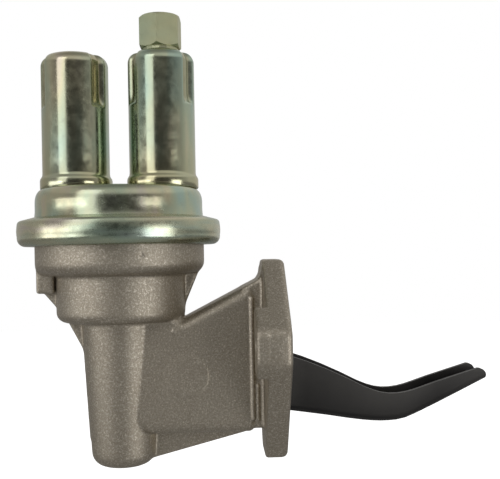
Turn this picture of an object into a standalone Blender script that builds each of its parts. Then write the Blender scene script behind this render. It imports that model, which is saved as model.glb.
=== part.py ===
"""Mechanical fuel pump with two upright steel towers, a cast body and a channel rocker arm.

Units are metres and +Z is up. The origin lies on the machined mounting face, in the pump's
middle plane. +X points out of that face, along the rocker arm and towards the engine.
The towers stand on +Z, and the pump axis is the vertical line through AXIS_X.
"""

import math

import bmesh
import bpy
from mathutils import Matrix, Vector

# Clearance, the reach of cutters that go right through, and smoothness
CLEARANCE = 0.0003
THROUGH = 0.0200
ROUND_STEPS = 32
MIDDLE_STEPS = 24
SMALL_STEPS = 16
FINE_STEPS = 12
ARC_STEPS = 3

# Where the pump axis, the diaphragm and the pivot pin lie
AXIS_X = -0.0714
DIAPHRAGM_Z = 0.0288
PIVOT_X = -0.0438
PIVOT_Z = -0.0350
ARM_TRAVEL = math.radians(12.0)

# Crimp ring, cover and the edges that it holds; shares are parts of the ring's radius
RING_RADIUS = 0.0440
COVER_SHARE = 0.8227
CUP_SHARE = 0.8318
RING_SHEET = 0.0016
RING_TOP_CORNER = 0.0016
RING_LOWER_CORNER = 0.0036
RING_LIP_RISE = 0.0013
COVER_SHEET = 0.0015
COVER_HEIGHT = 0.0168
COVER_CORNER = 0.0030
COVER_FILLET = 0.0020
DIAPHRAGM_SHEET = 0.0012

# Cast body: the cup, the spring housing under it and the tapered boss
CUP_FLANGE = 0.0038
CUP_BOTTOM_Z = 0.0098
CUP_CORNER = 0.0050
CUP_WALL = 0.0035
HOUSING_SHARE = 0.762
HOUSING_BOTTOM_Z = -0.0106
HOUSING_CORNER = 0.0042
HOUSING_WALL = 0.0036
BOSS_TOP_RADIUS = 0.0176
BOSS_LEDGE_RADIUS = 0.0147
BOSS_LEDGE_Z = -0.0632
BOSS_END_RADIUS = 0.0136
BOSS_END_Z = -0.0735
BOSS_END_CORNER = 0.0055
BOSS_BORE_RADIUS = 0.0113
SPRING_POCKET_RADIUS = 0.0084
SPRING_POCKET_TOP_Z = -0.0600
SPRING_POCKET_FLOOR = 0.0045

# Cast body: the arm housing between the boss and the mounting flange
ARM_CASE_HALF = 0.0130
ARM_CASE_NECK_HALF = 0.0116
ARM_CASE_END_X = -0.0152
ARM_CASE_BOTTOM_Z = -0.0590
ARM_CASE_TOP_LOW = (-0.0433, -0.0096)
ARM_CASE_TOP_HIGH = (-0.0120, 0.0064)
ARM_CASE_FLOOR = 0.0040
CHAMBER_TOP_Z = -0.0150
CHAMBER_CORNER = 0.0030
PIN_DISC_RADIUS = 0.0108
PIN_DISC_RISE = 0.0004
PIN_BOSS_RADIUS = 0.0085
PIN_BOSS_RISE = 0.0030
PIN_BLIND_WALL = 0.0008

# Mounting flange
FLANGE_THICKNESS = 0.0098
FLANGE_TOP_Z = 0.0150
FLANGE_BOTTOM_Z = -0.0710
FLANGE_TOP_HALF = 0.0090
FLANGE_BOTTOM_HALF = 0.0105
FLANGE_CORNER = 0.0060
EAR_HALF_SPAN = 0.0433
EAR_TOP_Z = -0.0130
EAR_BOTTOM_Z = -0.0262
EAR_THICKNESS = 0.0144
EAR_PAD_WIDTH = 0.0200
EAR_INSET = 0.0002
BOLT_INSET = 0.0088
BOLT_HOLE_RADIUS = 0.0045

# Ribs and the square lug under the cup
RIB_THICKNESS = 0.0045
RIB_BURIAL = 0.0006
RIB_FOOT_DROP = 0.0137
LUG_DEPTH = 0.0076
LUG_HALF = 0.0092
LUG_INSET = 0.0014
LUG_TOP_Z = 0.0125
LUG_BOTTOM_Z = 0.0020
WEEP_RADIUS = 0.0015

# Rod seal
SEAL_RADIUS = 0.0076
SEAL_HEIGHT = 0.0040
RETAINER_SHARE = 0.683
RETAINER_SHEET = 0.0010

# Diaphragm stack and pull rod
PLATE_SHEET = 0.0015
PLATE_SHARE = 0.900
PLATE_RIM = 0.0014
ROLL_SHARE = 0.781
ROLL_STEP = 0.0011
ROLL_EASE = 0.0008
ROLL_DEPTH = 0.0030
ROD_RADIUS = 0.0025
ROD_SHOULDER_RADIUS = 0.0042
ROD_SHOULDER = 0.0015
ROD_HEAD_RADIUS = 0.0039
ROD_HEAD = 0.0008
ROD_WASHER_RADIUS = 0.0055
ROD_WASHER = 0.0018
BUTTON_RADIUS = 0.0062
BUTTON_HEIGHT = 0.0030
DIAPHRAGM_SPRING_SHARE = 0.813
DIAPHRAGM_SPRING_WIRE = 0.0024
DIAPHRAGM_SPRING_TURNS = 5

# Towers, their port inserts and the hex fitting
TOWER_PITCH_SHARE = 1.044
TOWER_SHIFT = 0.0002
TOWER_BEAD_SHARE = 0.413
TOWER_SHEET = 0.0009
TOWER_BEAD = 0.0011
TOWER_BEAD_HEIGHT = 0.0052
TOWER_BEAD_EASE = 0.0009
TOWER_CORNER = 0.0046
TOWER_LIP = 0.0060
INLET_TOWER_HEIGHT = 0.0585
OUTLET_TOWER_HEIGHT = 0.0596
FLUTE_DEPTH = 0.0020
FLUTE_LENGTH = 0.0235
FLUTE_FADE = 0.0045
FLUTE_HALF_ANGLE = math.radians(17.0)
INSERT_LENGTH = 0.0185
INSERT_COLLAR = 0.0006
INSERT_WALL = 0.0025
HEX_FLATS = 0.0170
HEX_HEIGHT = 0.0139
HEX_CHAMFER = 0.0010
HEX_CHAMFER_SLOPE = 0.85
HEX_TURN = math.radians(-6.0)
HEX_NECK_INSET = 0.0006
HEX_NECK = 0.0013
HEX_STEM = 0.0120
HEX_PORT_RADIUS = 0.0046
HEX_PORT_DEPTH = 0.0105
HEX_PORT_CONE = 0.0020
HEX_BORE_SHARE = 0.45

# Check valves
VALVE_FLANGE_GAP = 0.0004
VALVE_FLANGE = 0.0020
VALVE_BODY_SHARE = 0.748
VALVE_BODY_DEPTH = 0.0038
VALVE_CUP_WALL = 0.0015
VALVE_SEAT = 0.0025
VALVE_PORTS = 5
VALVE_PORT_SHARE = 0.235
VALVE_CIRCLE_SHARE = 0.65
VALVE_DISC_SHARE = 0.783
VALVE_DISC = 0.0010
VALVE_SPRING_LENGTH = 0.0035
VALVE_SPRING_RADIUS = 0.0026
VALVE_SPRING_WIRE = 0.0006
VALVE_SPRING_TURNS = 3
STEM_RADIUS = 0.0012
STEM_HEAD_RADIUS = 0.0040
STEM_RIVET_RADIUS = 0.0024
STEM_HEAD = 0.0008

# Pivot pin, link and rocker arm
PIN_RADIUS = 0.0040
PLUG_DEPTH = 0.0014
LINK_HALF = 0.0062
LINK_SLOT_HALF = 0.0032
LINK_NOSE_RADIUS = 0.0032
LINK_TAIL = 0.0130
ARM_HALF = 0.0090
ARM_SHEET = 0.0022
ARM_CORNER = 0.0032
ARM_SEAT_Z = -0.0420
ARM_SEAT_REACH = 0.0079
ARM_SEAT_HALF = 0.0082
ARM_SEAT_RIM = 0.0042
ARM_BEND_X = -0.0570
ARM_SLOPE = math.radians(8.9)
ARM_TIP_X = 0.0880
ARM_NOSE_RADIUS = 0.0036
ARM_NOSE_CUT = 0.0200
ARM_SEAT_STEP = 0.0015
ARM_SEAT_CORNER = 0.0045
ARM_SADDLE_RISE = 0.0060
ARM_CHEEK_RISE = 0.0100
# Heights along the arm outside the case, at shares of the tip's distance from the face
ARM_TOP_EDGE = (
    (0.04, -0.0276),
    (0.20, -0.0331),
    (0.32, -0.0381),
    (0.41, -0.0421),
    (0.50, -0.0443),
    (0.60, -0.0438),
    (0.74, -0.0400),
    (0.94, -0.0348),
)
ARM_WEB_EDGE = (
    (0.20, -0.0536),
    (0.34, -0.0557),
    (0.44, -0.0567),
    (0.51, -0.0568),
    (0.58, -0.0561),
    (0.66, -0.0533),
    (0.80, -0.0476),
    (1.00, -0.0391),
)
RETURN_SPRING_RADIUS = 0.0062
RETURN_SPRING_WIRE = 0.0020
RETURN_SPRING_TURNS = 6

# Sizes, heights and places that follow from the sizes above
COVER_RADIUS = RING_RADIUS * COVER_SHARE
CUP_RADIUS = RING_RADIUS * CUP_SHARE
HOUSING_RADIUS = CUP_RADIUS * HOUSING_SHARE
HOUSING_BORE = HOUSING_RADIUS - HOUSING_WALL
RETAINER_RADIUS = HOUSING_BORE * RETAINER_SHARE
DIAPHRAGM_SPRING_RADIUS = RETAINER_RADIUS * DIAPHRAGM_SPRING_SHARE
ROLL_OUTER = CUP_RADIUS - CUP_WALL - ROLL_STEP
ROLL_INNER = ROLL_OUTER * ROLL_SHARE
PLATE_RADIUS = ROLL_INNER * PLATE_SHARE
TOWER_PITCH = COVER_RADIUS * TOWER_PITCH_SHARE
TOWER_BEAD_RADIUS = TOWER_PITCH * TOWER_BEAD_SHARE
TOWER_RADIUS = TOWER_BEAD_RADIUS - TOWER_BEAD
TOWER_MOUTH_RADIUS = TOWER_RADIUS - TOWER_LIP
INSERT_BORE = TOWER_MOUTH_RADIUS - INSERT_WALL
HEX_BORE_RADIUS = INSERT_BORE * HEX_BORE_SHARE
HEX_NECK_RADIUS = HEX_FLATS / 2 - HEX_NECK_INSET
VALVE_FLANGE_RADIUS = TOWER_BEAD_RADIUS - TOWER_SHEET - VALVE_FLANGE_GAP
VALVE_BODY_RADIUS = VALVE_FLANGE_RADIUS * VALVE_BODY_SHARE
VALVE_DISC_RADIUS = (VALVE_BODY_RADIUS - VALVE_CUP_WALL) * VALVE_DISC_SHARE
VALVE_PORT_CIRCLE = VALVE_DISC_RADIUS * VALVE_CIRCLE_SHARE
VALVE_PORT_RADIUS = VALVE_DISC_RADIUS * VALVE_PORT_SHARE
BOLT_SPACING = 2 * (EAR_HALF_SPAN - BOLT_INSET)
CUP_TOP_Z = DIAPHRAGM_Z - DIAPHRAGM_SHEET / 2 - CLEARANCE
CUP_FLANGE_BOTTOM_Z = CUP_TOP_Z - CUP_FLANGE
BRIM_TOP_Z = DIAPHRAGM_Z + DIAPHRAGM_SHEET / 2 + CLEARANCE + COVER_SHEET
COVER_TOP_Z = BRIM_TOP_Z - COVER_SHEET + COVER_HEIGHT
RIM_RADIUS = RING_RADIUS - RING_SHEET - CLEARANCE * 2
HOUSING_FLOOR_Z = HOUSING_BOTTOM_Z + HOUSING_WALL + CLEARANCE * 2
SEAL_SEAT_Z = HOUSING_FLOOR_Z - SEAL_HEIGHT - CLEARANCE * 2
BOSS_CEILING_Z = SEAL_SEAT_Z - 0.0028
POCKET_FLOOR_Z = BOSS_END_Z + SPRING_POCKET_FLOOR
CHAMBER_HALF = ARM_HALF + CLEARANCE + 0.0001
CHAMBER_FLOOR_Z = ARM_CASE_BOTTOM_Z + ARM_CASE_FLOOR
ROD_BORE_RADIUS = ROD_RADIUS + CLEARANCE * 2
PIN_BORE_RADIUS = PIN_RADIUS + CLEARANCE
TOWER_BASE_Z = COVER_TOP_Z + CLEARANCE
INLET_X = AXIS_X + TOWER_SHIFT - TOWER_PITCH / 2
OUTLET_X = AXIS_X + TOWER_SHIFT + TOWER_PITCH / 2
SEAT_LOW_Z = COVER_TOP_Z + CLEARANCE - VALVE_BODY_DEPTH
SEAT_HIGH_Z = SEAT_LOW_Z + VALVE_SEAT
LEVER = PIVOT_X - AXIS_X
CORE_X = AXIS_X + BOSS_BORE_RADIUS * 0.23
BUTTON_TOP_Z = PIVOT_Z + LEVER * math.sin(ARM_TRAVEL) / 2
RETAINER_TOP_Z = HOUSING_FLOOR_Z + CLEARANCE + RETAINER_SHEET
LOWER_PLATE_TOP_Z = CUP_TOP_Z
UPPER_PLATE_Z = DIAPHRAGM_Z + DIAPHRAGM_SHEET / 2 + CLEARANCE

# Colours of the finishes: base colour, metallic, roughness
FINISHES = {
    "cast_aluminium": ((0.46, 0.44, 0.40), 0.85, 0.55),
    "yellow_zinc": ((0.62, 0.56, 0.36), 1.0, 0.30),
    "olive_zinc": ((0.36, 0.36, 0.27), 1.0, 0.42),
    "black_steel": ((0.035, 0.035, 0.04), 0.6, 0.40),
    "rubber": ((0.02, 0.02, 0.02), 0.0, 0.75),
    "spring_steel": ((0.42, 0.42, 0.43), 1.0, 0.35),
    "plain_steel": ((0.55, 0.55, 0.55), 1.0, 0.35),
    "brass": ((0.72, 0.55, 0.25), 1.0, 0.35),
}

parts = bpy.data.collections.new("mechanical_fuel_pump")
cutters = bpy.data.collections.new("cutters")


def clear_scene():
    """Empty the file of objects and add the two collections."""
    for old in list(bpy.data.objects):
        bpy.data.objects.remove(old, do_unlink=True)
    bpy.context.scene.collection.children.link(parts)
    bpy.context.scene.collection.children.link(cutters)


def finish(name):
    """One material for each finish, made when it is first asked for."""
    material = bpy.data.materials.get(name)
    if material:
        return material
    colour, metallic, roughness = FINISHES[name]
    material = bpy.data.materials.new(name)
    material.use_nodes = True
    shader = material.node_tree.nodes["Principled BSDF"]
    shader.inputs["Base Color"].default_value = (*colour, 1.0)
    shader.inputs["Metallic"].default_value = metallic
    shader.inputs["Roughness"].default_value = roughness
    return material


def place(name, mesh, finish_name=None, location=(0, 0, 0)):
    """Put a mesh in the scene: a part with a finish, or a hidden cutter without one."""
    item = bpy.data.objects.new(name, mesh)
    item.location = location
    if finish_name:
        parts.objects.link(item)
        mesh.materials.append(finish(finish_name))
    else:
        cutters.objects.link(item)
        item.display_type = "WIRE"
        item.hide_render = True
    return item


def arc(centre, radius, start, end, steps=ARC_STEPS):
    """Points of an arc, angles in degrees counted from +X towards the second axis."""
    angles = [math.radians(start + (end - start) * i / steps) for i in range(steps + 1)]
    return [(centre[0] + radius * math.cos(a), centre[1] + radius * math.sin(a)) for a in angles]


def rounded(corners, radius, steps=ARC_STEPS):
    """A polygon with each corner rounded; radius is one number or one for each corner."""
    radii = radius if isinstance(radius, (list, tuple)) else [radius] * len(corners)
    points = []
    for i, corner in enumerate(corners):
        here = Vector(corner)
        before = (Vector(corners[i - 1]) - here).normalized()
        after = (Vector(corners[(i + 1) % len(corners)]) - here).normalized()
        if radii[i] <= 0:
            points.append(tuple(here))
            continue
        half = before.angle(after) / 2
        centre = here + (before + after).normalized() * radii[i] / math.sin(half)
        start = here + before * radii[i] / math.tan(half) - centre
        end = here + after * radii[i] / math.tan(half) - centre
        turn = start.angle_signed(end)
        for k in range(steps + 1):
            spoke = start.copy()
            spoke.rotate(Matrix.Rotation(-turn * k / steps, 2))
            points.append(tuple(centre + spoke))
    return points


def turned(name, profile, finish_name=None, x=0.0, y=0.0, steps=ROUND_STEPS, closed=False):
    """A profile of (radius, height) points, turned about the upright axis through x, y."""
    mesh = bpy.data.meshes.new(name)
    edges = [(i, i + 1) for i in range(len(profile) - 1)]
    if closed:
        edges.append((len(profile) - 1, 0))
    mesh.from_pydata([(r, 0.0, z) for r, z in profile], edges, [])
    item = place(name, mesh, finish_name, (x, y, 0.0))
    screw = item.modifiers.new("turn", "SCREW")
    screw.axis = "Z"
    screw.angle = math.tau
    screw.steps = steps
    screw.render_steps = steps
    screw.use_merge_vertices = True
    screw.merge_threshold = 0.00001
    return item


def thicken(item, thickness, offset=-1.0):
    """Give an open sheet its thickness."""
    solid = item.modifiers.new("sheet", "SOLIDIFY")
    solid.thickness = thickness
    solid.offset = offset
    solid.use_even_offset = True
    return item


def combine(item, other, how, solver="EXACT"):
    """Cut, join or intersect with another solid, which becomes a hidden cutter."""
    step = item.modifiers.new(how.lower(), "BOOLEAN")
    step.operation = how
    step.object = other
    step.solver = solver
    if other.name in parts.objects:
        parts.objects.unlink(other)
        cutters.objects.link(other)
    other.display_type = "WIRE"
    other.hide_render = True
    return item


def cut(item, *others, solver="EXACT"):
    """Take the other solids away from this one."""
    for other in others:
        combine(item, other, "DIFFERENCE", solver)
    return item


def join(item, *others, solver="EXACT"):
    """Add the other solids to this one."""
    for other in others:
        combine(item, other, "UNION", solver)
    return item


def curve_to_solid(name, curve, finish_name, location, turn):
    """Make a curve object's evaluated shape a mesh with its caps welded."""
    guide = bpy.data.objects.new(name + "_curve", curve)
    bpy.context.scene.collection.objects.link(guide)
    guide.matrix_world = turn
    bpy.context.view_layer.update()
    depsgraph = bpy.context.evaluated_depsgraph_get()
    mesh = bpy.data.meshes.new_from_object(guide.evaluated_get(depsgraph))
    mesh.transform(guide.matrix_world)
    mesh.name = name
    bpy.data.objects.remove(guide, do_unlink=True)
    shape = bmesh.new()
    shape.from_mesh(mesh)
    bmesh.ops.remove_doubles(shape, verts=shape.verts, dist=0.000001)
    bmesh.ops.recalc_face_normals(shape, faces=shape.faces)
    if curve.bevel_depth:
        bmesh.ops.triangulate(shape, faces=shape.faces)
    shape.to_mesh(mesh)
    shape.free()
    return place(name, mesh, finish_name, location)


SIDE_VIEW = Matrix(((1, 0, 0, 0), (0, 0, -1, 0), (0, 1, 0, 0), (0, 0, 0, 1)))
END_VIEW = Matrix(((0, 0, 1, 0), (1, 0, 0, 0), (0, 1, 0, 0), (0, 0, 0, 1)))


def prism(name, outline, low, high, view, finish_name=None, location=(0, 0, 0)):
    """A flat outline drawn in side view (X, Z) or end view (Y, Z), from low to high across it."""
    curve = bpy.data.curves.new(name, "CURVE")
    curve.dimensions = "2D"
    curve.fill_mode = "BOTH"
    curve.extrude = (high - low) / 2
    spline = curve.splines.new("POLY")
    spline.points.add(len(outline) - 1)
    for point, (a, b) in zip(spline.points, outline):
        point.co = (a, b, 0.0, 1.0)
    spline.use_cyclic_u = True
    middle = (high + low) / 2
    shift = Vector((0, middle, 0)) if view is SIDE_VIEW else Vector((middle, 0, 0))
    return curve_to_solid(name, curve, finish_name, location, Matrix.Translation(shift) @ view)


def rod(name, radius, start, end, finish_name=None, steps=SMALL_STEPS, location=(0, 0, 0)):
    """A plain cylinder between two points."""
    start, end = Vector(start), Vector(end)
    mesh = bpy.data.meshes.new(name)
    shape = bmesh.new()
    bmesh.ops.create_cone(
        shape, cap_ends=True, segments=steps, radius1=radius, radius2=radius, depth=(end - start).length
    )
    turn = (end - start).to_track_quat("Z", "Y").to_matrix().to_4x4()
    bmesh.ops.transform(shape, matrix=Matrix.Translation((start + end) / 2) @ turn, verts=shape.verts)
    shape.to_mesh(mesh)
    shape.free()
    return place(name, mesh, finish_name, location)


def coil(name, finish_name, x, bottom, top, radius, wire, turns, per_turn, location_z=0.0):
    """A compression spring whose first and last turns lie flat, standing between two heights."""
    low = bottom + wire / 2
    high = top - wire / 2
    count = turns * per_turn
    curve = bpy.data.curves.new(name, "CURVE")
    curve.dimensions = "3D"
    curve.bevel_depth = wire / 2
    curve.bevel_resolution = 2
    curve.use_fill_caps = True
    spline = curve.splines.new("POLY")
    spline.points.add(count)
    flat = 0.75 * wire
    for i, point in enumerate(spline.points):
        turn = i / per_turn
        rise = min(turn, 1.0) * flat
        rise += max(0.0, min(turn, turns - 1.0) - 1.0) * (high - low - 2 * flat) / (turns - 2)
        rise += max(0.0, turn - (turns - 1.0)) * flat
        angle = math.tau * turn
        point.co = (radius * math.cos(angle), radius * math.sin(angle), low + rise - location_z, 1.0)
    return curve_to_solid(name, curve, finish_name, (x, 0.0, location_z), Matrix.Identity(4))


def crimp_ring():
    """The rolled steel ring that clamps cover, diaphragm and cup together."""
    lip = COVER_RADIUS + COVER_FILLET / 2 + CLEARANCE
    top = BRIM_TOP_Z + CLEARANCE + RING_SHEET
    bottom = CUP_FLANGE_BOTTOM_Z - CLEARANCE - RING_SHEET
    outline = [(lip, top + RING_LIP_RISE)]
    outline += arc((RING_RADIUS - RING_TOP_CORNER, top - RING_TOP_CORNER), RING_TOP_CORNER, 78, 0, 2)
    outline += arc((RING_RADIUS - RING_LOWER_CORNER, bottom + RING_LOWER_CORNER), RING_LOWER_CORNER, 0, -90)
    outline.append((CUP_RADIUS + CLEARANCE * 2, bottom))
    thicken(turned("crimp_ring", outline, "yellow_zinc", AXIS_X), RING_SHEET)


def top_cover():
    """The drawn steel cover: a flat-topped dome with a brim, holed for the two valves."""
    outline = [(0.0, COVER_TOP_Z)]
    outline += arc((COVER_RADIUS - COVER_CORNER, COVER_TOP_Z - COVER_CORNER), COVER_CORNER, 90, 0)
    outline += arc((COVER_RADIUS + COVER_FILLET, BRIM_TOP_Z + COVER_FILLET), COVER_FILLET, 180, 270, 2)
    outline.append((RIM_RADIUS, BRIM_TOP_Z))
    cover = thicken(turned("top_cover", outline, "yellow_zinc", AXIS_X), COVER_SHEET)
    for x in (INLET_X, OUTLET_X):
        hole = VALVE_BODY_RADIUS + CLEARANCE
        low, high = COVER_TOP_Z - COVER_SHEET * 2, COVER_TOP_Z + COVER_SHEET
        cut(cover, rod("cover_hole", hole, (x, 0, low), (x, 0, high), steps=MIDDLE_STEPS))


def diaphragm():
    """The rubberised diaphragm: clamped rim, one hanging roll and a flat middle."""
    middle = (ROLL_INNER + ROLL_OUTER) / 2
    half = (ROLL_OUTER - ROLL_INNER) / 2
    outline = [(ROD_RADIUS + CLEARANCE, DIAPHRAGM_Z), (ROLL_INNER - ROLL_EASE, DIAPHRAGM_Z)]
    for i in range(1, 5):
        angle = math.pi * i / 5
        outline.append((middle - half * math.cos(angle), DIAPHRAGM_Z - ROLL_DEPTH * math.sin(angle)))
    outline += [(ROLL_OUTER + ROLL_EASE, DIAPHRAGM_Z), (RIM_RADIUS, DIAPHRAGM_Z)]
    thicken(turned("diaphragm", outline, "rubber", AXIS_X, steps=MIDDLE_STEPS), DIAPHRAGM_SHEET, 0.0)


def diaphragm_plates():
    """The two stamped plates that clamp the diaphragm's middle, with rims turned away from it."""
    bore = ROD_RADIUS + CLEARANCE
    bend = PLATE_RIM
    upper = [(bore, UPPER_PLATE_Z), (PLATE_RADIUS - bend, UPPER_PLATE_Z)]
    upper += [(PLATE_RADIUS, UPPER_PLATE_Z + bend), (PLATE_RADIUS, UPPER_PLATE_Z + bend + PLATE_SHEET)]
    upper.reverse()
    thicken(turned("upper_diaphragm_plate", upper, "plain_steel", AXIS_X, steps=MIDDLE_STEPS), PLATE_SHEET)
    lower = [(bore, LOWER_PLATE_TOP_Z), (PLATE_RADIUS - bend, LOWER_PLATE_TOP_Z)]
    lower += [(PLATE_RADIUS, LOWER_PLATE_TOP_Z - bend)]
    lower += [(PLATE_RADIUS, LOWER_PLATE_TOP_Z - bend - PLATE_SHEET)]
    thicken(turned("lower_diaphragm_plate", lower, "plain_steel", AXIS_X, steps=MIDDLE_STEPS), PLATE_SHEET)


def pull_rod():
    """The rod that the link pulls: riveted head, shoulder under the plates and lower button."""
    washer_bottom = UPPER_PLATE_Z + PLATE_SHEET + CLEARANCE
    washer_top = washer_bottom + ROD_WASHER
    head = washer_top + CLEARANCE
    shoulder = LOWER_PLATE_TOP_Z - PLATE_SHEET - CLEARANCE
    edge = 0.0005
    outline = [
        (0.0, head + ROD_HEAD),
        (ROD_HEAD_RADIUS - edge, head + ROD_HEAD),
        (ROD_HEAD_RADIUS, head + ROD_HEAD - edge),
        (ROD_HEAD_RADIUS, head),
        (ROD_RADIUS, head),
        (ROD_RADIUS, shoulder),
        (ROD_SHOULDER_RADIUS, shoulder),
        (ROD_SHOULDER_RADIUS, shoulder - ROD_SHOULDER),
        (ROD_RADIUS, shoulder - ROD_SHOULDER),
        (ROD_RADIUS, BUTTON_TOP_Z),
        (BUTTON_RADIUS, BUTTON_TOP_Z),
        (BUTTON_RADIUS, BUTTON_TOP_Z - BUTTON_HEIGHT + edge),
        (BUTTON_RADIUS - edge, BUTTON_TOP_Z - BUTTON_HEIGHT),
        (0.0, BUTTON_TOP_Z - BUTTON_HEIGHT),
    ]
    turned("pull_rod", outline, "plain_steel", AXIS_X, steps=FINE_STEPS + 4)
    ring = [
        (ROD_RADIUS + CLEARANCE, washer_top),
        (ROD_WASHER_RADIUS, washer_top),
        (ROD_WASHER_RADIUS, washer_bottom),
        (ROD_RADIUS + CLEARANCE, washer_bottom),
    ]
    turned("rod_washer", ring, "plain_steel", AXIS_X, steps=SMALL_STEPS, closed=True)


def rod_seal():
    """The rubber ring round the rod and the stamped plate that keeps it in its pocket."""
    bore = ROD_RADIUS + CLEARANCE
    top = HOUSING_FLOOR_Z - CLEARANCE
    bottom = SEAL_SEAT_Z + CLEARANCE
    ring = [(bore, top), (SEAL_RADIUS, top), (SEAL_RADIUS, bottom), (bore, bottom)]
    turned("rod_seal", ring, "rubber", AXIS_X, steps=SMALL_STEPS, closed=True)
    bore = ROD_BORE_RADIUS
    low = HOUSING_FLOOR_Z + CLEARANCE
    plate = [
        (bore, RETAINER_TOP_Z),
        (RETAINER_RADIUS, RETAINER_TOP_Z),
        (RETAINER_RADIUS, low),
        (bore, low),
    ]
    turned("seal_retainer", plate, "plain_steel", AXIS_X, steps=MIDDLE_STEPS, closed=True)


def diaphragm_spring():
    """The spring that drives the delivery stroke, between the retainer and the lower plate."""
    top = LOWER_PLATE_TOP_Z - PLATE_SHEET - CLEARANCE
    bottom = RETAINER_TOP_Z + CLEARANCE
    radius, wire = DIAPHRAGM_SPRING_RADIUS, DIAPHRAGM_SPRING_WIRE
    coil("diaphragm_spring", "spring_steel", AXIS_X, bottom, top, radius, wire, DIAPHRAGM_SPRING_TURNS, 11)


def flute_dent(angle, drop, first_flute):
    """How far the tower's wall is pressed in, at an angle and at a depth below its top."""
    turns = [(angle - first_flute - k * math.tau / 3 + math.pi) % math.tau - math.pi for k in range(3)]
    nearest = min(abs(turn) for turn in turns)
    across = max(0.0, 1.0 - (nearest / FLUTE_HALF_ANGLE) ** 2) ** 0.5
    end = FLUTE_LENGTH * 0.25
    below = max(0.0, min(1.0, (FLUTE_LENGTH - drop) / end))
    return FLUTE_DEPTH * across * (1.0 - (1.0 - below) ** 2)


def tower(name, x, height, first_flute):
    """A drawn steel can: bead at its foot, three pressed flutes that grip the port insert."""
    top = TOWER_BASE_Z + height
    rows = [(TOWER_BEAD_RADIUS, TOWER_BASE_Z)]
    bead_top = TOWER_BASE_Z + TOWER_BEAD_HEIGHT
    rows.append((TOWER_BEAD_RADIUS, bead_top - TOWER_BEAD_EASE))
    rows.append((TOWER_BEAD_RADIUS - TOWER_BEAD_EASE / 2, bead_top))
    rows.append((TOWER_RADIUS, bead_top + TOWER_BEAD_EASE))
    rows.append((TOWER_RADIUS, top - FLUTE_LENGTH))
    for share in (0.05, 0.13, 0.26):
        rows.append((TOWER_RADIUS, top - FLUTE_LENGTH * (1.0 - share)))
    rows += arc((TOWER_RADIUS - TOWER_CORNER, top - TOWER_CORNER), TOWER_CORNER, 0, 90, 3)
    rows.append((TOWER_MOUTH_RADIUS, top))
    offsets = [FLUTE_HALF_ANGLE * s for s in (-1.0, -0.88, -0.5, 0.5, 0.88, 1.0)]
    plain = math.tau / 3 - 2 * FLUTE_HALF_ANGLE
    offsets += [FLUTE_HALF_ANGLE + plain * k / 5 for k in range(1, 5)]
    angles = [first_flute + third * math.tau / 3 + offset for third in range(3) for offset in offsets]
    points = []
    for radius, z in rows:
        for angle in angles:
            fade = min(1.0, (radius - TOWER_MOUTH_RADIUS) / FLUTE_FADE)
            r = radius - flute_dent(angle, top - z, first_flute) * fade
            points.append((r * math.cos(angle), r * math.sin(angle), z))
    n = len(angles)
    faces = []
    for row in range(len(rows) - 1):
        for k in range(n):
            a, b = row * n + k, row * n + (k + 1) % n
            faces.append((a, b, b + n, a + n))
    mesh = bpy.data.meshes.new(name)
    mesh.from_pydata(points, [], faces)
    thicken(place(name, mesh, "yellow_zinc", (x, 0.0, 0.0)), TOWER_SHEET)


def port_insert(name, x, height):
    """The threaded port piece held by the tower's flutes, its collar standing in the mouth."""
    top = TOWER_BASE_Z + height
    body_top = top - TOWER_SHEET - CLEARANCE
    collar = TOWER_MOUTH_RADIUS - CLEARANCE
    radius = TOWER_RADIUS - TOWER_SHEET - FLUTE_DEPTH - CLEARANCE * 1.5
    bend = TOWER_CORNER - TOWER_SHEET
    outline = [(INSERT_BORE, top + INSERT_COLLAR), (collar, top + INSERT_COLLAR), (collar, body_top)]
    outline += arc((radius - bend, body_top - bend), bend, 75, 0, 3)
    outline += [(radius, body_top - INSERT_LENGTH), (INSERT_BORE, body_top - INSERT_LENGTH)]
    turned(name, outline, "olive_zinc", x, steps=SMALL_STEPS, closed=True)


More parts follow.
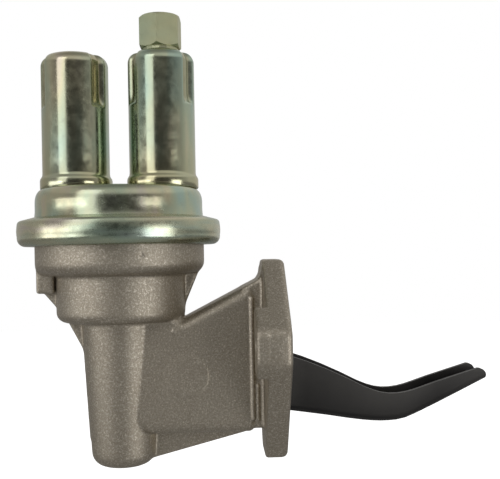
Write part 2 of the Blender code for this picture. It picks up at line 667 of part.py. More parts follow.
def hex_fitting():
    """The outlet fitting: hexagon with chamfered ends, neck, stem in the insert, stepped port."""
    base = TOWER_BASE_Z + OUTLET_TOWER_HEIGHT + INSERT_COLLAR + CLEARANCE
    low = base + HEX_NECK
    high = low + HEX_HEIGHT
    corner = HEX_FLATS / math.sqrt(3)
    mesh = bpy.data.meshes.new("outlet_hex_fitting")
    shape = bmesh.new()
    bmesh.ops.create_cone(shape, cap_ends=True, segments=6, radius1=corner, radius2=corner, depth=HEX_HEIGHT)
    turn = Matrix.Rotation(HEX_TURN, 4, "Z")
    bmesh.ops.transform(shape, matrix=Matrix.Translation((0, 0, (low + high) / 2)) @ turn, verts=shape.verts)
    shape.to_mesh(mesh)
    shape.free()
    fitting = place("outlet_hex_fitting", mesh, "olive_zinc", (OUTLET_X, 0.0, 0.0))
    flat = HEX_FLATS / 2
    reach = corner + HEX_CHAMFER
    drop = (reach - flat) * HEX_CHAMFER_SLOPE
    turn_limit = [(0.0, high + 0.0001), (flat, high + 0.0001), (reach, high - drop)]
    turn_limit += [(reach, low + drop), (flat, low - 0.0001), (0.0, low - 0.0001)]
    combine(fitting, turned("hex_chamfer", turn_limit, None, OUTLET_X, steps=24), "INTERSECT")
    stem_radius = INSERT_BORE - CLEARANCE
    neck = [
        (0.0, low + 0.0005),
        (HEX_NECK_RADIUS, low + 0.0005),
        (HEX_NECK_RADIUS, base),
        (stem_radius, base),
        (stem_radius, base - HEX_STEM),
        (0.0, base - HEX_STEM),
    ]
    join(fitting, turned("hex_neck", neck, None, OUTLET_X, steps=SMALL_STEPS))
    port = [
        (0.0, high + 0.001),
        (HEX_PORT_RADIUS, high + 0.001),
        (HEX_PORT_RADIUS, high - HEX_PORT_DEPTH),
        (HEX_BORE_RADIUS, high - HEX_PORT_DEPTH - HEX_PORT_CONE),
        (HEX_BORE_RADIUS, base - HEX_STEM - 0.001),
        (0.0, base - HEX_STEM - 0.001),
    ]
    cut(fitting, turned("hex_port", port, None, OUTLET_X, steps=SMALL_STEPS))


def valve_body(name, x):
    """The pressed valve cup: flange on the cover, ported seat below, hole for the stem."""
    top = COVER_TOP_Z + CLEARANCE + VALVE_FLANGE
    under = COVER_TOP_Z + CLEARANCE
    bore = STEM_RADIUS + CLEARANCE
    inner = VALVE_BODY_RADIUS - VALVE_CUP_WALL
    outline = [
        (inner, top),
        (VALVE_FLANGE_RADIUS, top),
        (VALVE_FLANGE_RADIUS, under),
        (VALVE_BODY_RADIUS, under),
        (VALVE_BODY_RADIUS, SEAT_LOW_Z),
        (bore, SEAT_LOW_Z),
        (bore, SEAT_HIGH_Z),
        (inner, SEAT_HIGH_Z),
    ]
    body = turned(name, outline, "brass", x, steps=MIDDLE_STEPS, closed=True)
    for k in range(VALVE_PORTS):
        angle = math.tau * (k + 0.5) / VALVE_PORTS
        px, py = x + VALVE_PORT_CIRCLE * math.cos(angle), VALVE_PORT_CIRCLE * math.sin(angle)
        low, high = SEAT_LOW_Z - 0.001, SEAT_HIGH_Z + 0.001
        cut(body, rod(name + "_port", VALVE_PORT_RADIUS, (px, py, low), (px, py, high), steps=8))


def valve_set(prefix, x, seat, side):
    """Disc, spring and stem on one face of a seat: side is -1 below it and +1 above it."""
    bore = STEM_RADIUS + CLEARANCE
    disc_near = seat + side * CLEARANCE
    disc_far = disc_near + side * VALVE_DISC
    spring_near = disc_far + side * CLEARANCE
    spring_far = spring_near + side * VALVE_SPRING_LENGTH
    head_near = spring_far + side * CLEARANCE
    head_far = head_near + side * STEM_HEAD
    other_face = SEAT_HIGH_Z if side < 0 else SEAT_LOW_Z
    rivet_near = other_face - side * CLEARANCE
    rivet_far = rivet_near - side * STEM_HEAD * 0.75
    high, low = max(disc_near, disc_far), min(disc_near, disc_far)
    ring = [(bore, high), (VALVE_DISC_RADIUS, high), (VALVE_DISC_RADIUS, low), (bore, low)]
    turned(prefix + "_valve_disc", ring, "rubber", x, steps=SMALL_STEPS, closed=True)
    low, high = min(spring_near, spring_far), max(spring_near, spring_far)
    radius, wire = VALVE_SPRING_RADIUS, VALVE_SPRING_WIRE
    coil(prefix + "_valve_spring", "spring_steel", x, low, high, radius, wire, VALVE_SPRING_TURNS, 9)
    outline = [
        (0.0, rivet_far),
        (STEM_RIVET_RADIUS, rivet_far),
        (STEM_RIVET_RADIUS, rivet_near),
        (STEM_RADIUS, rivet_near),
        (STEM_RADIUS, head_near),
        (STEM_HEAD_RADIUS, head_near),
        (STEM_HEAD_RADIUS, head_far),
        (0.0, head_far),
    ]
    if side > 0:
        outline.reverse()
    turned(prefix + "_valve_stem", outline, "plain_steel", x, steps=FINE_STEPS)


def smooth(keys, x):
    """A smooth curve through (x, value) points, read at x."""
    if x <= keys[0][0]:
        return keys[0][1]
    if x >= keys[-1][0]:
        slope = (keys[-1][1] - keys[-2][1]) / (keys[-1][0] - keys[-2][0])
        return keys[-1][1] + slope * (x - keys[-1][0])
    i = max(k for k in range(len(keys) - 1) if keys[k][0] <= x)

    def slope_at(k):
        a, b = max(k - 1, 0), min(k + 1, len(keys) - 1)
        return (keys[b][1] - keys[a][1]) / (keys[b][0] - keys[a][0])

    (x0, v0), (x1, v1) = keys[i], keys[i + 1]
    span = x1 - x0
    t = (x - x0) / span
    hold, ease = 2 * t ** 3 - 3 * t ** 2 + 1, t ** 3 - 2 * t ** 2 + t
    near, late = -2 * t ** 3 + 3 * t ** 2, t ** 3 - t ** 2
    return hold * v0 + ease * span * slope_at(i) + near * v1 + late * span * slope_at(i + 1)


def web_height(x):
    """Height of the outer face of the arm's web: flat seat, straight run, belly and tip."""
    if x <= ARM_BEND_X:
        return ARM_SEAT_Z
    if x <= 0.0:
        return ARM_SEAT_Z - (x - ARM_BEND_X) * math.tan(ARM_SLOPE)
    keys = [(place, web_height(place)) for place in (-ARM_TIP_X * 0.15, 0.0)]
    return smooth(keys + [(share * ARM_TIP_X, z) for share, z in ARM_WEB_EDGE], x)


def rocker_arm():
    """The pressed channel: spring seat, cheeks round the pin, deep root, belly and curved tip."""
    rim = ARM_SEAT_Z + ARM_SEAT_RIM
    cheek = PIVOT_Z + ARM_CHEEK_RISE
    seat_end = AXIS_X - ARM_SEAT_REACH
    run = PIVOT_X - AXIS_X
    edge = [(seat_end, rim), (AXIS_X + run * 0.2, rim), (AXIS_X + run * 0.53, rim + ARM_SADDLE_RISE)]
    edge += [(AXIS_X + run * 0.76, cheek - 0.0010), (PIVOT_X, cheek), (PIVOT_X * 0.18, cheek)]
    edge += [(share * ARM_TIP_X, z) for share, z in ARM_TOP_EDGE]
    plan = [(seat_end, ARM_SEAT_HALF * 0.62), (seat_end + ARM_SEAT_STEP, ARM_SEAT_HALF * 0.86)]
    plan += [(seat_end + ARM_SEAT_CORNER, ARM_SEAT_HALF), (AXIS_X + run * 0.145, ARM_SEAT_HALF)]
    plan += [(AXIS_X + run * 0.35, ARM_HALF), (ARM_TIP_X, ARM_HALF)]
    stations = [seat_end + ARM_SEAT_STEP * k for k in range(3)] + [AXIS_X - 0.0025, AXIS_X + run * 0.145]
    stations += [AXIS_X + run * (0.44 + 0.108 * k) for k in range(5)]
    stations += [PIVOT_X * (1 - k / 6) for k in range(6)]
    stations += [ARM_TIP_X * share for share in (0.0, 0.1, 0.2, 0.3, 0.38)]
    stations += [ARM_TIP_X * (0.43 + 0.04 * k) for k in range(7)]
    stations += [ARM_TIP_X * share for share in (0.75, 0.88, 1.03)]
    points = []
    for x in stations:
        half = min(ARM_HALF, smooth(plan, x))
        floor, top = web_height(x), smooth(edge, x)
        corner = ARM_CORNER if x > ARM_BEND_X else ARM_CORNER - 0.0004
        side = [(half, top), (half, floor + corner)]
        side += arc((half - corner, floor + corner), corner, 0, -90, 3)[1:]
        section = side + [(-y, z) for y, z in reversed(side)]
        points += [(x - PIVOT_X, y, z - PIVOT_Z) for y, z in section]
    n = len(points) // len(stations)
    faces = []
    for row in range(len(stations) - 1):
        for k in range(n - 1):
            a = row * n + k
            faces.append((a, a + n, a + n + 1, a + 1))
    mesh = bpy.data.meshes.new("rocker_arm")
    mesh.from_pydata(points, [], faces)
    arm = thicken(place("rocker_arm", mesh, "black_steel", (PIVOT_X, 0.0, PIVOT_Z)), ARM_SHEET)
    pin_hole = PIN_RADIUS + CLEARANCE
    cut(arm, rod("arm_pin_hole", pin_hole, (PIVOT_X, -THROUGH, PIVOT_Z), (PIVOT_X, THROUGH, PIVOT_Z)))
    far = ARM_TIP_X + ARM_NOSE_CUT
    nose_x = ARM_TIP_X - ARM_NOSE_RADIUS
    top = smooth(edge, nose_x)
    nose = [(far, top - ARM_NOSE_CUT), (far, top + ARM_NOSE_CUT), (nose_x - 0.0020, top + ARM_NOSE_CUT)]
    nose.append((nose_x - 0.0010, top + 0.0004))
    nose += arc((nose_x, top - ARM_NOSE_RADIUS), ARM_NOSE_RADIUS, 90, 0, 5)
    nose.append((ARM_TIP_X - 0.0006, top - ARM_NOSE_CUT))
    cut(arm, prism("arm_nose", nose, -THROUGH, THROUGH, SIDE_VIEW))


def link():
    """The forked link on the arm's pin: round noses over the rod's button, tail on the arm's web."""
    def web_inner(x):
        return web_height(PIVOT_X + x) - PIVOT_Z + ARM_SHEET / math.cos(ARM_SLOPE) + CLEARANCE

    hub = -web_inner(0.0)
    nose_z = BUTTON_TOP_Z - PIVOT_Z + CLEARANCE + LINK_NOSE_RADIUS
    outline = arc((-LEVER, nose_z), LINK_NOSE_RADIUS, 90, 270, 6)
    outline += [(-LEVER + 0.0085, nose_z - LINK_NOSE_RADIUS + 0.0004), (-hub * 1.25, -hub * 0.25)]
    outline += arc((0.0, 0.0), hub, 215, 262, 3)
    outline += [(LINK_TAIL * 0.55, web_inner(LINK_TAIL * 0.55)), (LINK_TAIL, web_inner(LINK_TAIL))]
    outline += [(LINK_TAIL + 0.0012, web_inner(LINK_TAIL) + 0.0012)]
    outline += [(LINK_TAIL + 0.0004, web_inner(LINK_TAIL) + 0.0030)]
    outline += arc((0.0, 0.0), hub, 20, 105, 5)
    outline += [(-LEVER + 0.0085, nose_z + LINK_NOSE_RADIUS + 0.0004)]
    where = (PIVOT_X, 0.0, PIVOT_Z)
    item = prism("link", outline, -LINK_HALF, LINK_HALF, SIDE_VIEW, "plain_steel", where)
    slot_end = -LEVER + ROD_RADIUS + 0.0022
    slot_start = slot_end - THROUGH
    slot = [(slot_start, -THROUGH), (slot_end, -THROUGH), (slot_end, THROUGH), (slot_start, THROUGH)]
    cut(item, prism("link_slot", slot, -LINK_SLOT_HALF, LINK_SLOT_HALF, SIDE_VIEW, None, where))
    hole = PIN_RADIUS + CLEARANCE
    cut(item, rod("link_pin_hole", hole, (PIVOT_X, -THROUGH, PIVOT_Z), (PIVOT_X, THROUGH, PIVOT_Z)))


def pivot_pin():
    """The pin in a blind bore at the front and a through bore at the back, and its plug."""
    front = -ARM_CASE_HALF + PIN_BLIND_WALL + CLEARANCE
    outer = ARM_CASE_HALF + PIN_BOSS_RISE
    plug_end = outer - CLEARANCE
    back = plug_end - PLUG_DEPTH - CLEARANCE
    plug_start = plug_end - PLUG_DEPTH
    middle = (PIVOT_X, 0, PIVOT_Z)
    rod("pivot_pin", PIN_RADIUS, (0, front, 0), (0, back, 0), "plain_steel", SMALL_STEPS, middle)
    rod("pin_plug", PIN_RADIUS, (0, plug_start, 0), (0, plug_end, 0), "plain_steel", SMALL_STEPS, middle)


def return_spring():
    """The spring in the lower boss that holds the arm against the engine's cam."""
    bottom, top = POCKET_FLOOR_Z + CLEARANCE, ARM_SEAT_Z - CLEARANCE
    radius, wire = RETURN_SPRING_RADIUS, RETURN_SPRING_WIRE
    coil("return_spring", "spring_steel", AXIS_X, bottom, top, radius, wire, RETURN_SPRING_TURNS, 9)


def boss_radius(z):
    """Outer radius of the tapered boss at a height above its ledge."""
    share = (z - BOSS_LEDGE_Z) / (HOUSING_BOTTOM_Z - BOSS_LEDGE_Z)
    return BOSS_LEDGE_RADIUS + (BOSS_TOP_RADIUS - BOSS_LEDGE_RADIUS) * share


def cast_shell():
    """Outer form of cup and spring housing, turned."""
    corner = RING_LOWER_CORNER - RING_SHEET
    outline = [(0.0, CUP_TOP_Z), (RIM_RADIUS, CUP_TOP_Z)]
    outline += arc((RIM_RADIUS - corner, CUP_FLANGE_BOTTOM_Z + corner), corner, 0, -90, 3)
    outline += [(CUP_RADIUS + 0.0006, CUP_FLANGE_BOTTOM_Z), (CUP_RADIUS, CUP_FLANGE_BOTTOM_Z - 0.0006)]
    outline += arc((CUP_RADIUS - CUP_CORNER, CUP_BOTTOM_Z + CUP_CORNER), CUP_CORNER, 0, -90)
    outline += [(HOUSING_RADIUS + 0.0012, CUP_BOTTOM_Z), (HOUSING_RADIUS + 0.0003, CUP_BOTTOM_Z - 0.0009)]
    corner = (HOUSING_RADIUS - HOUSING_CORNER, HOUSING_BOTTOM_Z + HOUSING_CORNER)
    outline += arc(corner, HOUSING_CORNER, 0, -90, 3)
    outline.append((0.0, HOUSING_BOTTOM_Z))
    return turned("body_casting", outline, "cast_aluminium", AXIS_X)


def cast_boss():
    """The tapered boss below, with its ledge and rounded end."""
    buried = HOUSING_BOTTOM_Z + 0.002
    outline = [(0.0, buried), (boss_radius(buried), buried)]
    outline += [(BOSS_LEDGE_RADIUS, BOSS_LEDGE_Z), (BOSS_END_RADIUS, BOSS_LEDGE_Z - 0.0008)]
    centre = (BOSS_END_RADIUS - BOSS_END_CORNER, BOSS_END_Z + BOSS_END_CORNER)
    outline += arc(centre, BOSS_END_CORNER, 0, -90)
    outline.append((0.0, BOSS_END_Z))
    return turned("cast_boss", outline, None, AXIS_X, steps=ROUND_STEPS)


def flange_outline():
    """The six-sided outline of the mounting flange, in end view."""
    right = [(FLANGE_TOP_HALF, FLANGE_TOP_Z), (EAR_HALF_SPAN, EAR_TOP_Z)]
    right += [(EAR_HALF_SPAN, EAR_BOTTOM_Z), (FLANGE_BOTTOM_HALF, FLANGE_BOTTOM_Z)]
    corners = right + [(-y, z) for y, z in reversed(right)]
    return rounded(corners, FLANGE_CORNER, 3)


def ear_outline(side):
    """The thick end of one ear, round the bolt hole, in end view."""
    inner = EAR_HALF_SPAN - EAR_PAD_WIDTH
    slope = (FLANGE_TOP_Z - EAR_TOP_Z) / (EAR_HALF_SPAN - FLANGE_TOP_HALF)
    tip = EAR_HALF_SPAN - EAR_INSET
    corners = [
        (inner, EAR_TOP_Z + slope * EAR_PAD_WIDTH * 0.55),
        (tip, EAR_TOP_Z - EAR_INSET),
        (tip, EAR_BOTTOM_Z + EAR_INSET),
        (inner, EAR_BOTTOM_Z - slope * EAR_PAD_WIDTH * 0.85),
    ]
    return rounded([(side * y, z) for y, z in corners], FLANGE_CORNER, 3)


def arm_case():
    """The flat-sided case round the arm, its narrower neck and the pads round the pin."""
    low, high = ARM_CASE_TOP_LOW, ARM_CASE_TOP_HIGH
    slope = (high[1] - low[1]) / (high[0] - low[0])
    end_top = low[1] + slope * (ARM_CASE_END_X - low[0])
    block = [(CORE_X, ARM_CASE_BOTTOM_Z), (ARM_CASE_END_X, ARM_CASE_BOTTOM_Z), (ARM_CASE_END_X, end_top)]
    block += [low, (CORE_X, low[1])]
    buried = -FLANGE_THICKNESS / 2
    neck = [(ARM_CASE_END_X - 0.004, ARM_CASE_BOTTOM_Z + 0.0006), (buried, ARM_CASE_BOTTOM_Z + 0.0006)]
    neck += [(buried, FLANGE_TOP_Z - 0.0035), (-FLANGE_THICKNESS - 0.0006, FLANGE_TOP_Z - 0.0050), high]
    neck.append((ARM_CASE_END_X - 0.004, end_top - slope * 0.004 - 0.0006))
    middle = (PIVOT_X, 0.0, PIVOT_Z)
    root = ARM_CASE_HALF - 0.0010
    disc_face, boss_face = -ARM_CASE_HALF - PIN_DISC_RISE, ARM_CASE_HALF + PIN_BOSS_RISE
    return [
        prism("arm_case", block, -ARM_CASE_HALF, ARM_CASE_HALF, SIDE_VIEW),
        prism("arm_case_neck", neck, -ARM_CASE_NECK_HALF, ARM_CASE_NECK_HALF, SIDE_VIEW),
        rod("pin_disc", PIN_DISC_RADIUS, (0, disc_face, 0), (0, -root, 0), None, ROUND_STEPS, middle),
        rod("pin_boss", PIN_BOSS_RADIUS, (0, root, 0), (0, boss_face, 0), None, MIDDLE_STEPS, middle),
    ]


def cast_ribs():
    """Webs under the cup, the square lug at the left and the gusset under the arm case."""
    half = RIB_THICKNESS / 2
    wall = HOUSING_RADIUS - RIB_BURIAL
    foot_z = HOUSING_BOTTOM_Z - RIB_FOOT_DROP
    corner_z = HOUSING_BOTTOM_Z + HOUSING_CORNER
    left = [(AXIS_X - CUP_RADIUS + 0.0030, LUG_TOP_Z), (AXIS_X - CUP_RADIUS + 0.0030, LUG_BOTTOM_Z)]
    left += [(AXIS_X - wall, corner_z + 0.0010), (AXIS_X - wall + 0.0036, HOUSING_BOTTOM_Z + 0.0008)]
    left += [(AXIS_X - boss_radius(foot_z) + RIB_BURIAL, foot_z), (CORE_X, foot_z), (CORE_X, LUG_TOP_Z)]
    right = [(AXIS_X + CUP_RADIUS - RIB_BURIAL, LUG_TOP_Z + 0.0024)]
    right += [(AXIS_X + CUP_RADIUS - 0.0016, LUG_TOP_Z)]
    right += [(AXIS_X + wall, corner_z + 0.0008), (AXIS_X + wall, HOUSING_BOTTOM_Z + 0.0007)]
    right += [(CORE_X, HOUSING_BOTTOM_Z + 0.0007), (CORE_X, LUG_TOP_Z + 0.0024)]
    inside = ARM_CASE_BOTTOM_Z + 0.0020
    gusset = [(CORE_X, inside), (CORE_X, BOSS_END_Z + 0.0020)]
    gusset += [(AXIS_X + BOSS_END_RADIUS, BOSS_END_Z + 0.0025)]
    gusset += [(ARM_CASE_END_X - 0.0010, ARM_CASE_BOTTOM_Z - 0.0014), (ARM_CASE_END_X - 0.0010, inside)]
    lug_x = AXIS_X - CUP_RADIUS + LUG_INSET
    lug = [(lug_x, LUG_BOTTOM_Z), (lug_x + LUG_DEPTH, LUG_BOTTOM_Z), (lug_x + LUG_DEPTH, LUG_TOP_Z)]
    lug.append((lug_x, LUG_TOP_Z))
    return [
        prism("left_rib", left, -half, half, SIDE_VIEW),
        prism("right_rib", right, -half, half, SIDE_VIEW),
        prism("lower_gusset", gusset, -half, half, SIDE_VIEW),
        prism("left_lug", lug, -LUG_HALF, LUG_HALF, SIDE_VIEW),
    ]


def body_cavities():
    """Everything cored or drilled out of the casting."""
    rim = CUP_RADIUS - CUP_WALL
    bore = HOUSING_BORE
    shelf = CUP_BOTTOM_Z + CUP_WALL
    cup = [(0.0, CUP_TOP_Z + 0.001), (rim, CUP_TOP_Z + 0.001)]
    cup += [(rim - 0.0015, shelf + 0.001), (rim - 0.0025, shelf)]
    cup += [(bore, shelf), (bore, HOUSING_FLOOR_Z), (SEAL_RADIUS + CLEARANCE, HOUSING_FLOOR_Z)]
    cup += [(SEAL_RADIUS + CLEARANCE, SEAL_SEAT_Z), (ROD_BORE_RADIUS, SEAL_SEAT_Z)]
    cup += [(ROD_BORE_RADIUS, BOSS_CEILING_Z - 0.001), (0.0, BOSS_CEILING_Z - 0.001)]
    boss = [(0.0, BOSS_CEILING_Z), (BOSS_BORE_RADIUS, BOSS_CEILING_Z)]
    boss += [(BOSS_BORE_RADIUS, SPRING_POCKET_TOP_Z + 0.002), (SPRING_POCKET_RADIUS, SPRING_POCKET_TOP_Z)]
    boss += [(SPRING_POCKET_RADIUS, POCKET_FLOOR_Z), (0.0, POCKET_FLOOR_Z)]
    half = CHAMBER_HALF
    floor, ceiling = CHAMBER_FLOOR_Z, CHAMBER_TOP_Z
    corners = [(-half, floor), (half, floor), (half, ceiling), (-half, ceiling)]
    start = AXIS_X + math.sqrt(BOSS_BORE_RADIUS ** 2 - half ** 2) - 0.0007
    cavities = [
        turned("cup_cavity", cup, None, AXIS_X, steps=ROUND_STEPS),
        turned("boss_bore", boss, None, AXIS_X, steps=MIDDLE_STEPS),
        prism("arm_chamber", rounded(corners, CHAMBER_CORNER, 3), start, 0.001, END_VIEW),
    ]
    outer = ARM_CASE_HALF + PIN_BOSS_RISE
    front = -ARM_CASE_HALF + PIN_BLIND_WALL
    middle = (PIVOT_X, 0.0, PIVOT_Z)
    start, end = (0, front, 0), (0, outer + 0.001, 0)
    cavities.append(rod("pin_bore", PIN_BORE_RADIUS, start, end, None, SMALL_STEPS, middle))
    hole_z = (EAR_TOP_Z + EAR_BOTTOM_Z) / 2
    for side in (-1, 1):
        y = side * BOLT_SPACING / 2
        far = (-EAR_THICKNESS - 0.001, y, hole_z)
        cavities.append(rod("bolt_hole", BOLT_HOLE_RADIUS, far, (0.001, y, hole_z), None, SMALL_STEPS))
    weep = (CUP_BOTTOM_Z + HOUSING_BOTTOM_Z) / 2
    outside = (AXIS_X, HOUSING_RADIUS + 0.001, weep)
    cavities.append(rod("weep_hole", WEEP_RADIUS, (AXIS_X, bore - 0.001, weep), outside, None, 10))
    return cavities


def body_casting():
    """The die-cast body as one solid: outer forms joined, then cored and drilled."""
    casting = cast_shell()
    pads = [prism("ear_pad", ear_outline(s), -EAR_THICKNESS, -0.002, END_VIEW) for s in (-1, 1)]
    flange = prism("flange", flange_outline(), -FLANGE_THICKNESS, 0.0, END_VIEW)
    join(casting, cast_boss(), *arm_case(), flange, *pads, *cast_ribs(), solver="MANIFOLD")
    cut(casting, *body_cavities(), solver="MANIFOLD")


def settle():
    """Replace each part's modifiers by their result, shaded smooth but for its real edges."""
    bpy.context.view_layer.update()
    depsgraph = bpy.context.evaluated_depsgraph_get()
    baked = [(item, bpy.data.meshes.new_from_object(item.evaluated_get(depsgraph))) for item in parts.objects]
    for item, mesh in baked:
        item.modifiers.clear()
        item.data = mesh
        shape = bmesh.new()
        shape.from_mesh(mesh)
        bmesh.ops.remove_doubles(shape, verts=shape.verts, dist=0.000002)
        shape.to_mesh(mesh)
        shape.free()
        mesh.shade_smooth()
        mesh.set_sharp_from_angle(angle=math.radians(35.0))


clear_scene()
body_casting()
crimp_ring()
top_cover()
diaphragm()
diaphragm_plates()
pull_rod()
rod_seal()
diaphragm_spring()
tower("inlet_tower", INLET_X, INLET_TOWER_HEIGHT, math.radians(-36.0))
tower("outlet_tower", OUTLET_X, OUTLET_TOWER_HEIGHT, math.radians(-30.0))
port_insert("inlet_port_insert", INLET_X, INLET_TOWER_HEIGHT)
port_insert("outlet_port_insert", OUTLET_X, OUTLET_TOWER_HEIGHT)
hex_fitting()
valve_body("inlet_valve_body", INLET_X)
valve_body("outlet_valve_body", OUTLET_X)
valve_set("inlet", INLET_X, SEAT_LOW_Z, -1)
valve_set("outlet", OUTLET_X, SEAT_HIGH_Z, 1)
rocker_arm()
link()
pivot_pin()
return_spring()
settle()
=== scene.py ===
"""Looks of the mechanical fuel pump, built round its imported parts.

Sizes are in millimetres until they meet a mesh. The pump's axis is upright and the mounting
face lies at x = 0; the rocker arm points along +x and the port towers along +z.
"""

import math

import bmesh
import bpy
import numpy as np
from mathutils import Matrix, Vector


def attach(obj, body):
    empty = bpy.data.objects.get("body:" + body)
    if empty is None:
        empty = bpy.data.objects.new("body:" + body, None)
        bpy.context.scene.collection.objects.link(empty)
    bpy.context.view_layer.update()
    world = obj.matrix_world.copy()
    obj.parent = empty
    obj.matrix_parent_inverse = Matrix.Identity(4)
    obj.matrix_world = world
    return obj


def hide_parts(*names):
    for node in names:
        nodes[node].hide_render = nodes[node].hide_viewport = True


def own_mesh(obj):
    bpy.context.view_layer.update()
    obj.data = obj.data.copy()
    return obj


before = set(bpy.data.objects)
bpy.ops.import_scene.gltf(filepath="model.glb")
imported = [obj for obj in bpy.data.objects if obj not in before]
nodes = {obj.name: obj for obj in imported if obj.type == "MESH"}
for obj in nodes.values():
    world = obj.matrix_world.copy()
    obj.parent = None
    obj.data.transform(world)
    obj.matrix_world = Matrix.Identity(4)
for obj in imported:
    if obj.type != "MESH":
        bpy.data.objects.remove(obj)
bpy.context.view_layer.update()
MM = 0.001
pump_axis_x = -71.4
pivot = (-43.8, -35.0)

# Die-cast body. One aluminium casting: diaphragm cup, spring housing, tapered boss, flat-sided
# arm case, ribs and mounting flange. Its corners are soft where metal ran round them in the
# die, and crisp on the mounting face, the bores and the bolt holes, which are machined.
casting_step = 0.6
casting_low = np.array([-119.0, -46.2, -75.0])
casting_high = np.array([2.6, 46.2, 30.2])
counts = np.ceil((casting_high - casting_low) / casting_step).astype(int)
xs, ys, zs = [casting_low[i] + casting_step * np.arange(counts[i]) for i in range(3)]
side_x, side_z = np.meshgrid(xs, zs, indexing="ij")
end_y, end_z = np.meshgrid(ys, zs, indexing="ij")


def outline_distance(a, b, corners):
    """How far each point lies from a closed outline, less than nothing inside it."""
    nearest = np.full(np.broadcast(a, b).shape, 1e9)
    inside = np.zeros(nearest.shape, bool)
    for (a0, b0), (a1, b1) in zip(corners, corners[1:] + corners[:1]):
        da, db = a1 - a0, b1 - b0
        share = np.clip(((a - a0) * da + (b - b0) * db) / (da * da + db * db), 0.0, 1.0)
        nearest = np.minimum(nearest, (a - a0 - da * share) ** 2 + (b - b0 - db * share) ** 2)
        if db:
            inside ^= ((b0 <= b) != (b1 <= b)) & (a < a0 + da * (b - b0) / db)
    return np.where(inside, -1.0, 1.0) * np.sqrt(nearest)


def slab(flat, across, edge):
    """An outline given thickness; edge is the radius that runs round its two faces."""
    p, q = flat + edge, across + edge
    outside = np.hypot(np.maximum(p, 0.0), np.maximum(q, 0.0))
    return outside + np.minimum(np.maximum(p, q), 0.0) - edge


def side_form(corners, low, high, edge):
    """A form with its outline in side view, from low to high across the pump."""
    across = np.abs(ys - (low + high) / 2) - (high - low) / 2
    flat = outline_distance(side_x, side_z, corners)
    return slab(flat[:, None, :], across[None, :, None], edge).astype(np.float32)


def end_form(corners, low, high, edge):
    """A form with its outline in end view, from low to high along the arm."""
    across = np.abs(xs - (low + high) / 2) - (high - low) / 2
    flat = outline_distance(end_y, end_z, corners)
    return slab(flat[None, :, :], across[:, None, None], edge).astype(np.float32)


def turned_form(profile):
    """A form turned about an upright axis, from a closed outline of radius and height."""
    spacing = 0.25
    radii = np.arange(0.0, 75.0, spacing)
    table = outline_distance(radii[:, None], zs[None, :], profile).astype(np.float32)
    reach = np.hypot(xs[:, None] - pump_axis_x, ys[None, :]) / spacing
    low = np.minimum(reach.astype(int), len(radii) - 2)
    share = (reach - low)[..., None].astype(np.float32)
    return table[low] * (1 - share) + table[low + 1] * share


def cross_rod(x, z, radius, low, high, edge):
    """A round form that lies across the pump."""
    across = np.abs(ys - (low + high) / 2) - (high - low) / 2
    flat = np.hypot(side_x - x, side_z - z) - radius
    return slab(flat[:, None, :], across[None, :, None], edge).astype(np.float32)


def long_rod(y, z, radius, low, high):
    """A round form that lies along the arm."""
    across = np.abs(xs - (low + high) / 2) - (high - low) / 2
    flat = np.hypot(end_y - y, end_z - z) - radius
    return np.maximum(flat[None, :, :], across[:, None, None]).astype(np.float32)


def bead(start, end, radius):
    """A round-ended bead laid between two points."""
    a, b = Vector(start), Vector(end)
    along = b - a
    px, py, pz = xs[:, None, None] - a.x, ys[None, :, None] - a.y, zs[None, None, :] - a.z
    share = np.clip((px * along.x + py * along.y + pz * along.z) / along.length_squared, 0.0, 1.0)
    reach = (px - share * along.x) ** 2 + (py - share * along.y) ** 2 + (pz - share * along.z) ** 2
    return (np.sqrt(reach) - radius).astype(np.float32)


def grown_together(one, other, fillet):
    """Two cast forms in one, with a fillet in the corner where they meet."""
    blend = np.maximum(fillet - np.abs(one - other), 0.0) / fillet
    return np.minimum(one, other) - blend * blend * fillet / 4


def trimmed(one, other, edge):
    """A cast form cut back to another, with a rounded edge where they meet."""
    blend = np.maximum(edge - np.abs(one - other), 0.0) / edge
    return np.maximum(one, other) + blend * blend * edge / 4


def quarter(centre, radius, start, end, steps=6, tall=None):
    """Points of an arc in an outline, angles in degrees; tall makes it a part of an ellipse."""
    angles = np.radians(np.linspace(start, end, steps + 1))
    tall = tall or radius
    return [(centre[0] + radius * math.cos(a), centre[1] + tall * math.sin(a)) for a in angles]


def softened(corners, radius, steps=5):
    """An outline with each of its corners rounded."""
    radii = radius if isinstance(radius, (list, tuple)) else [radius] * len(corners)
    points = []
    for i, corner in enumerate(corners):
        here = Vector(corner)
        before = (Vector(corners[i - 1]) - here).normalized()
        after = (Vector(corners[(i + 1) % len(corners)]) - here).normalized()
        half = before.angle(after) / 2
        centre = here + (before + after).normalized() * radii[i] / math.sin(half)
        start = here + before * radii[i] / math.tan(half) - centre
        end = here + after * radii[i] / math.tan(half) - centre
        turn = start.angle_signed(end)
        for k in range(steps + 1):
            spoke = start.copy()
            spoke.rotate(Matrix.Rotation(-turn * k / steps, 2))
            points.append(tuple(centre + spoke))
    return points


cup = [(0.0, 27.9), (41.8, 27.9), (41.8, 26.0), (41.3, 24.7), (40.2, 24.1), (36.6, 24.1)]
cup += quarter((31.6, 14.8), 5.0, 0, -90) + [(0.0, 9.8)]
housing = [(0.0, 12.0), (27.9, 12.0)] + quarter((23.7, -6.4), 4.2, 0, -90) + [(0.0, -10.6)]
boss = [(0.0, -6.0), (17.4, -6.0), (14.0, -66.0)]
boss += quarter((8.0, -67.6), 5.9, 0, -90) + [(0.0, -73.5)]
seam = [(-91.5, -12.0), (-88.5, -20.0), (-86.1, -62.0), (-85.3, -63.4)]
seam += [(-80.0, -63.4), (-80.0, -12.0)]
case = [(-66.5, -59.0), (-5.0, -59.0), (-5.0, 10.0), (-44.6, -10.2), (-47.4, -6.0), (-70.0, -6.0)]
neck = [(-19.0, -57.4), (-5.0, -57.4), (-5.0, 12.0), (-9.8, 11.4)]
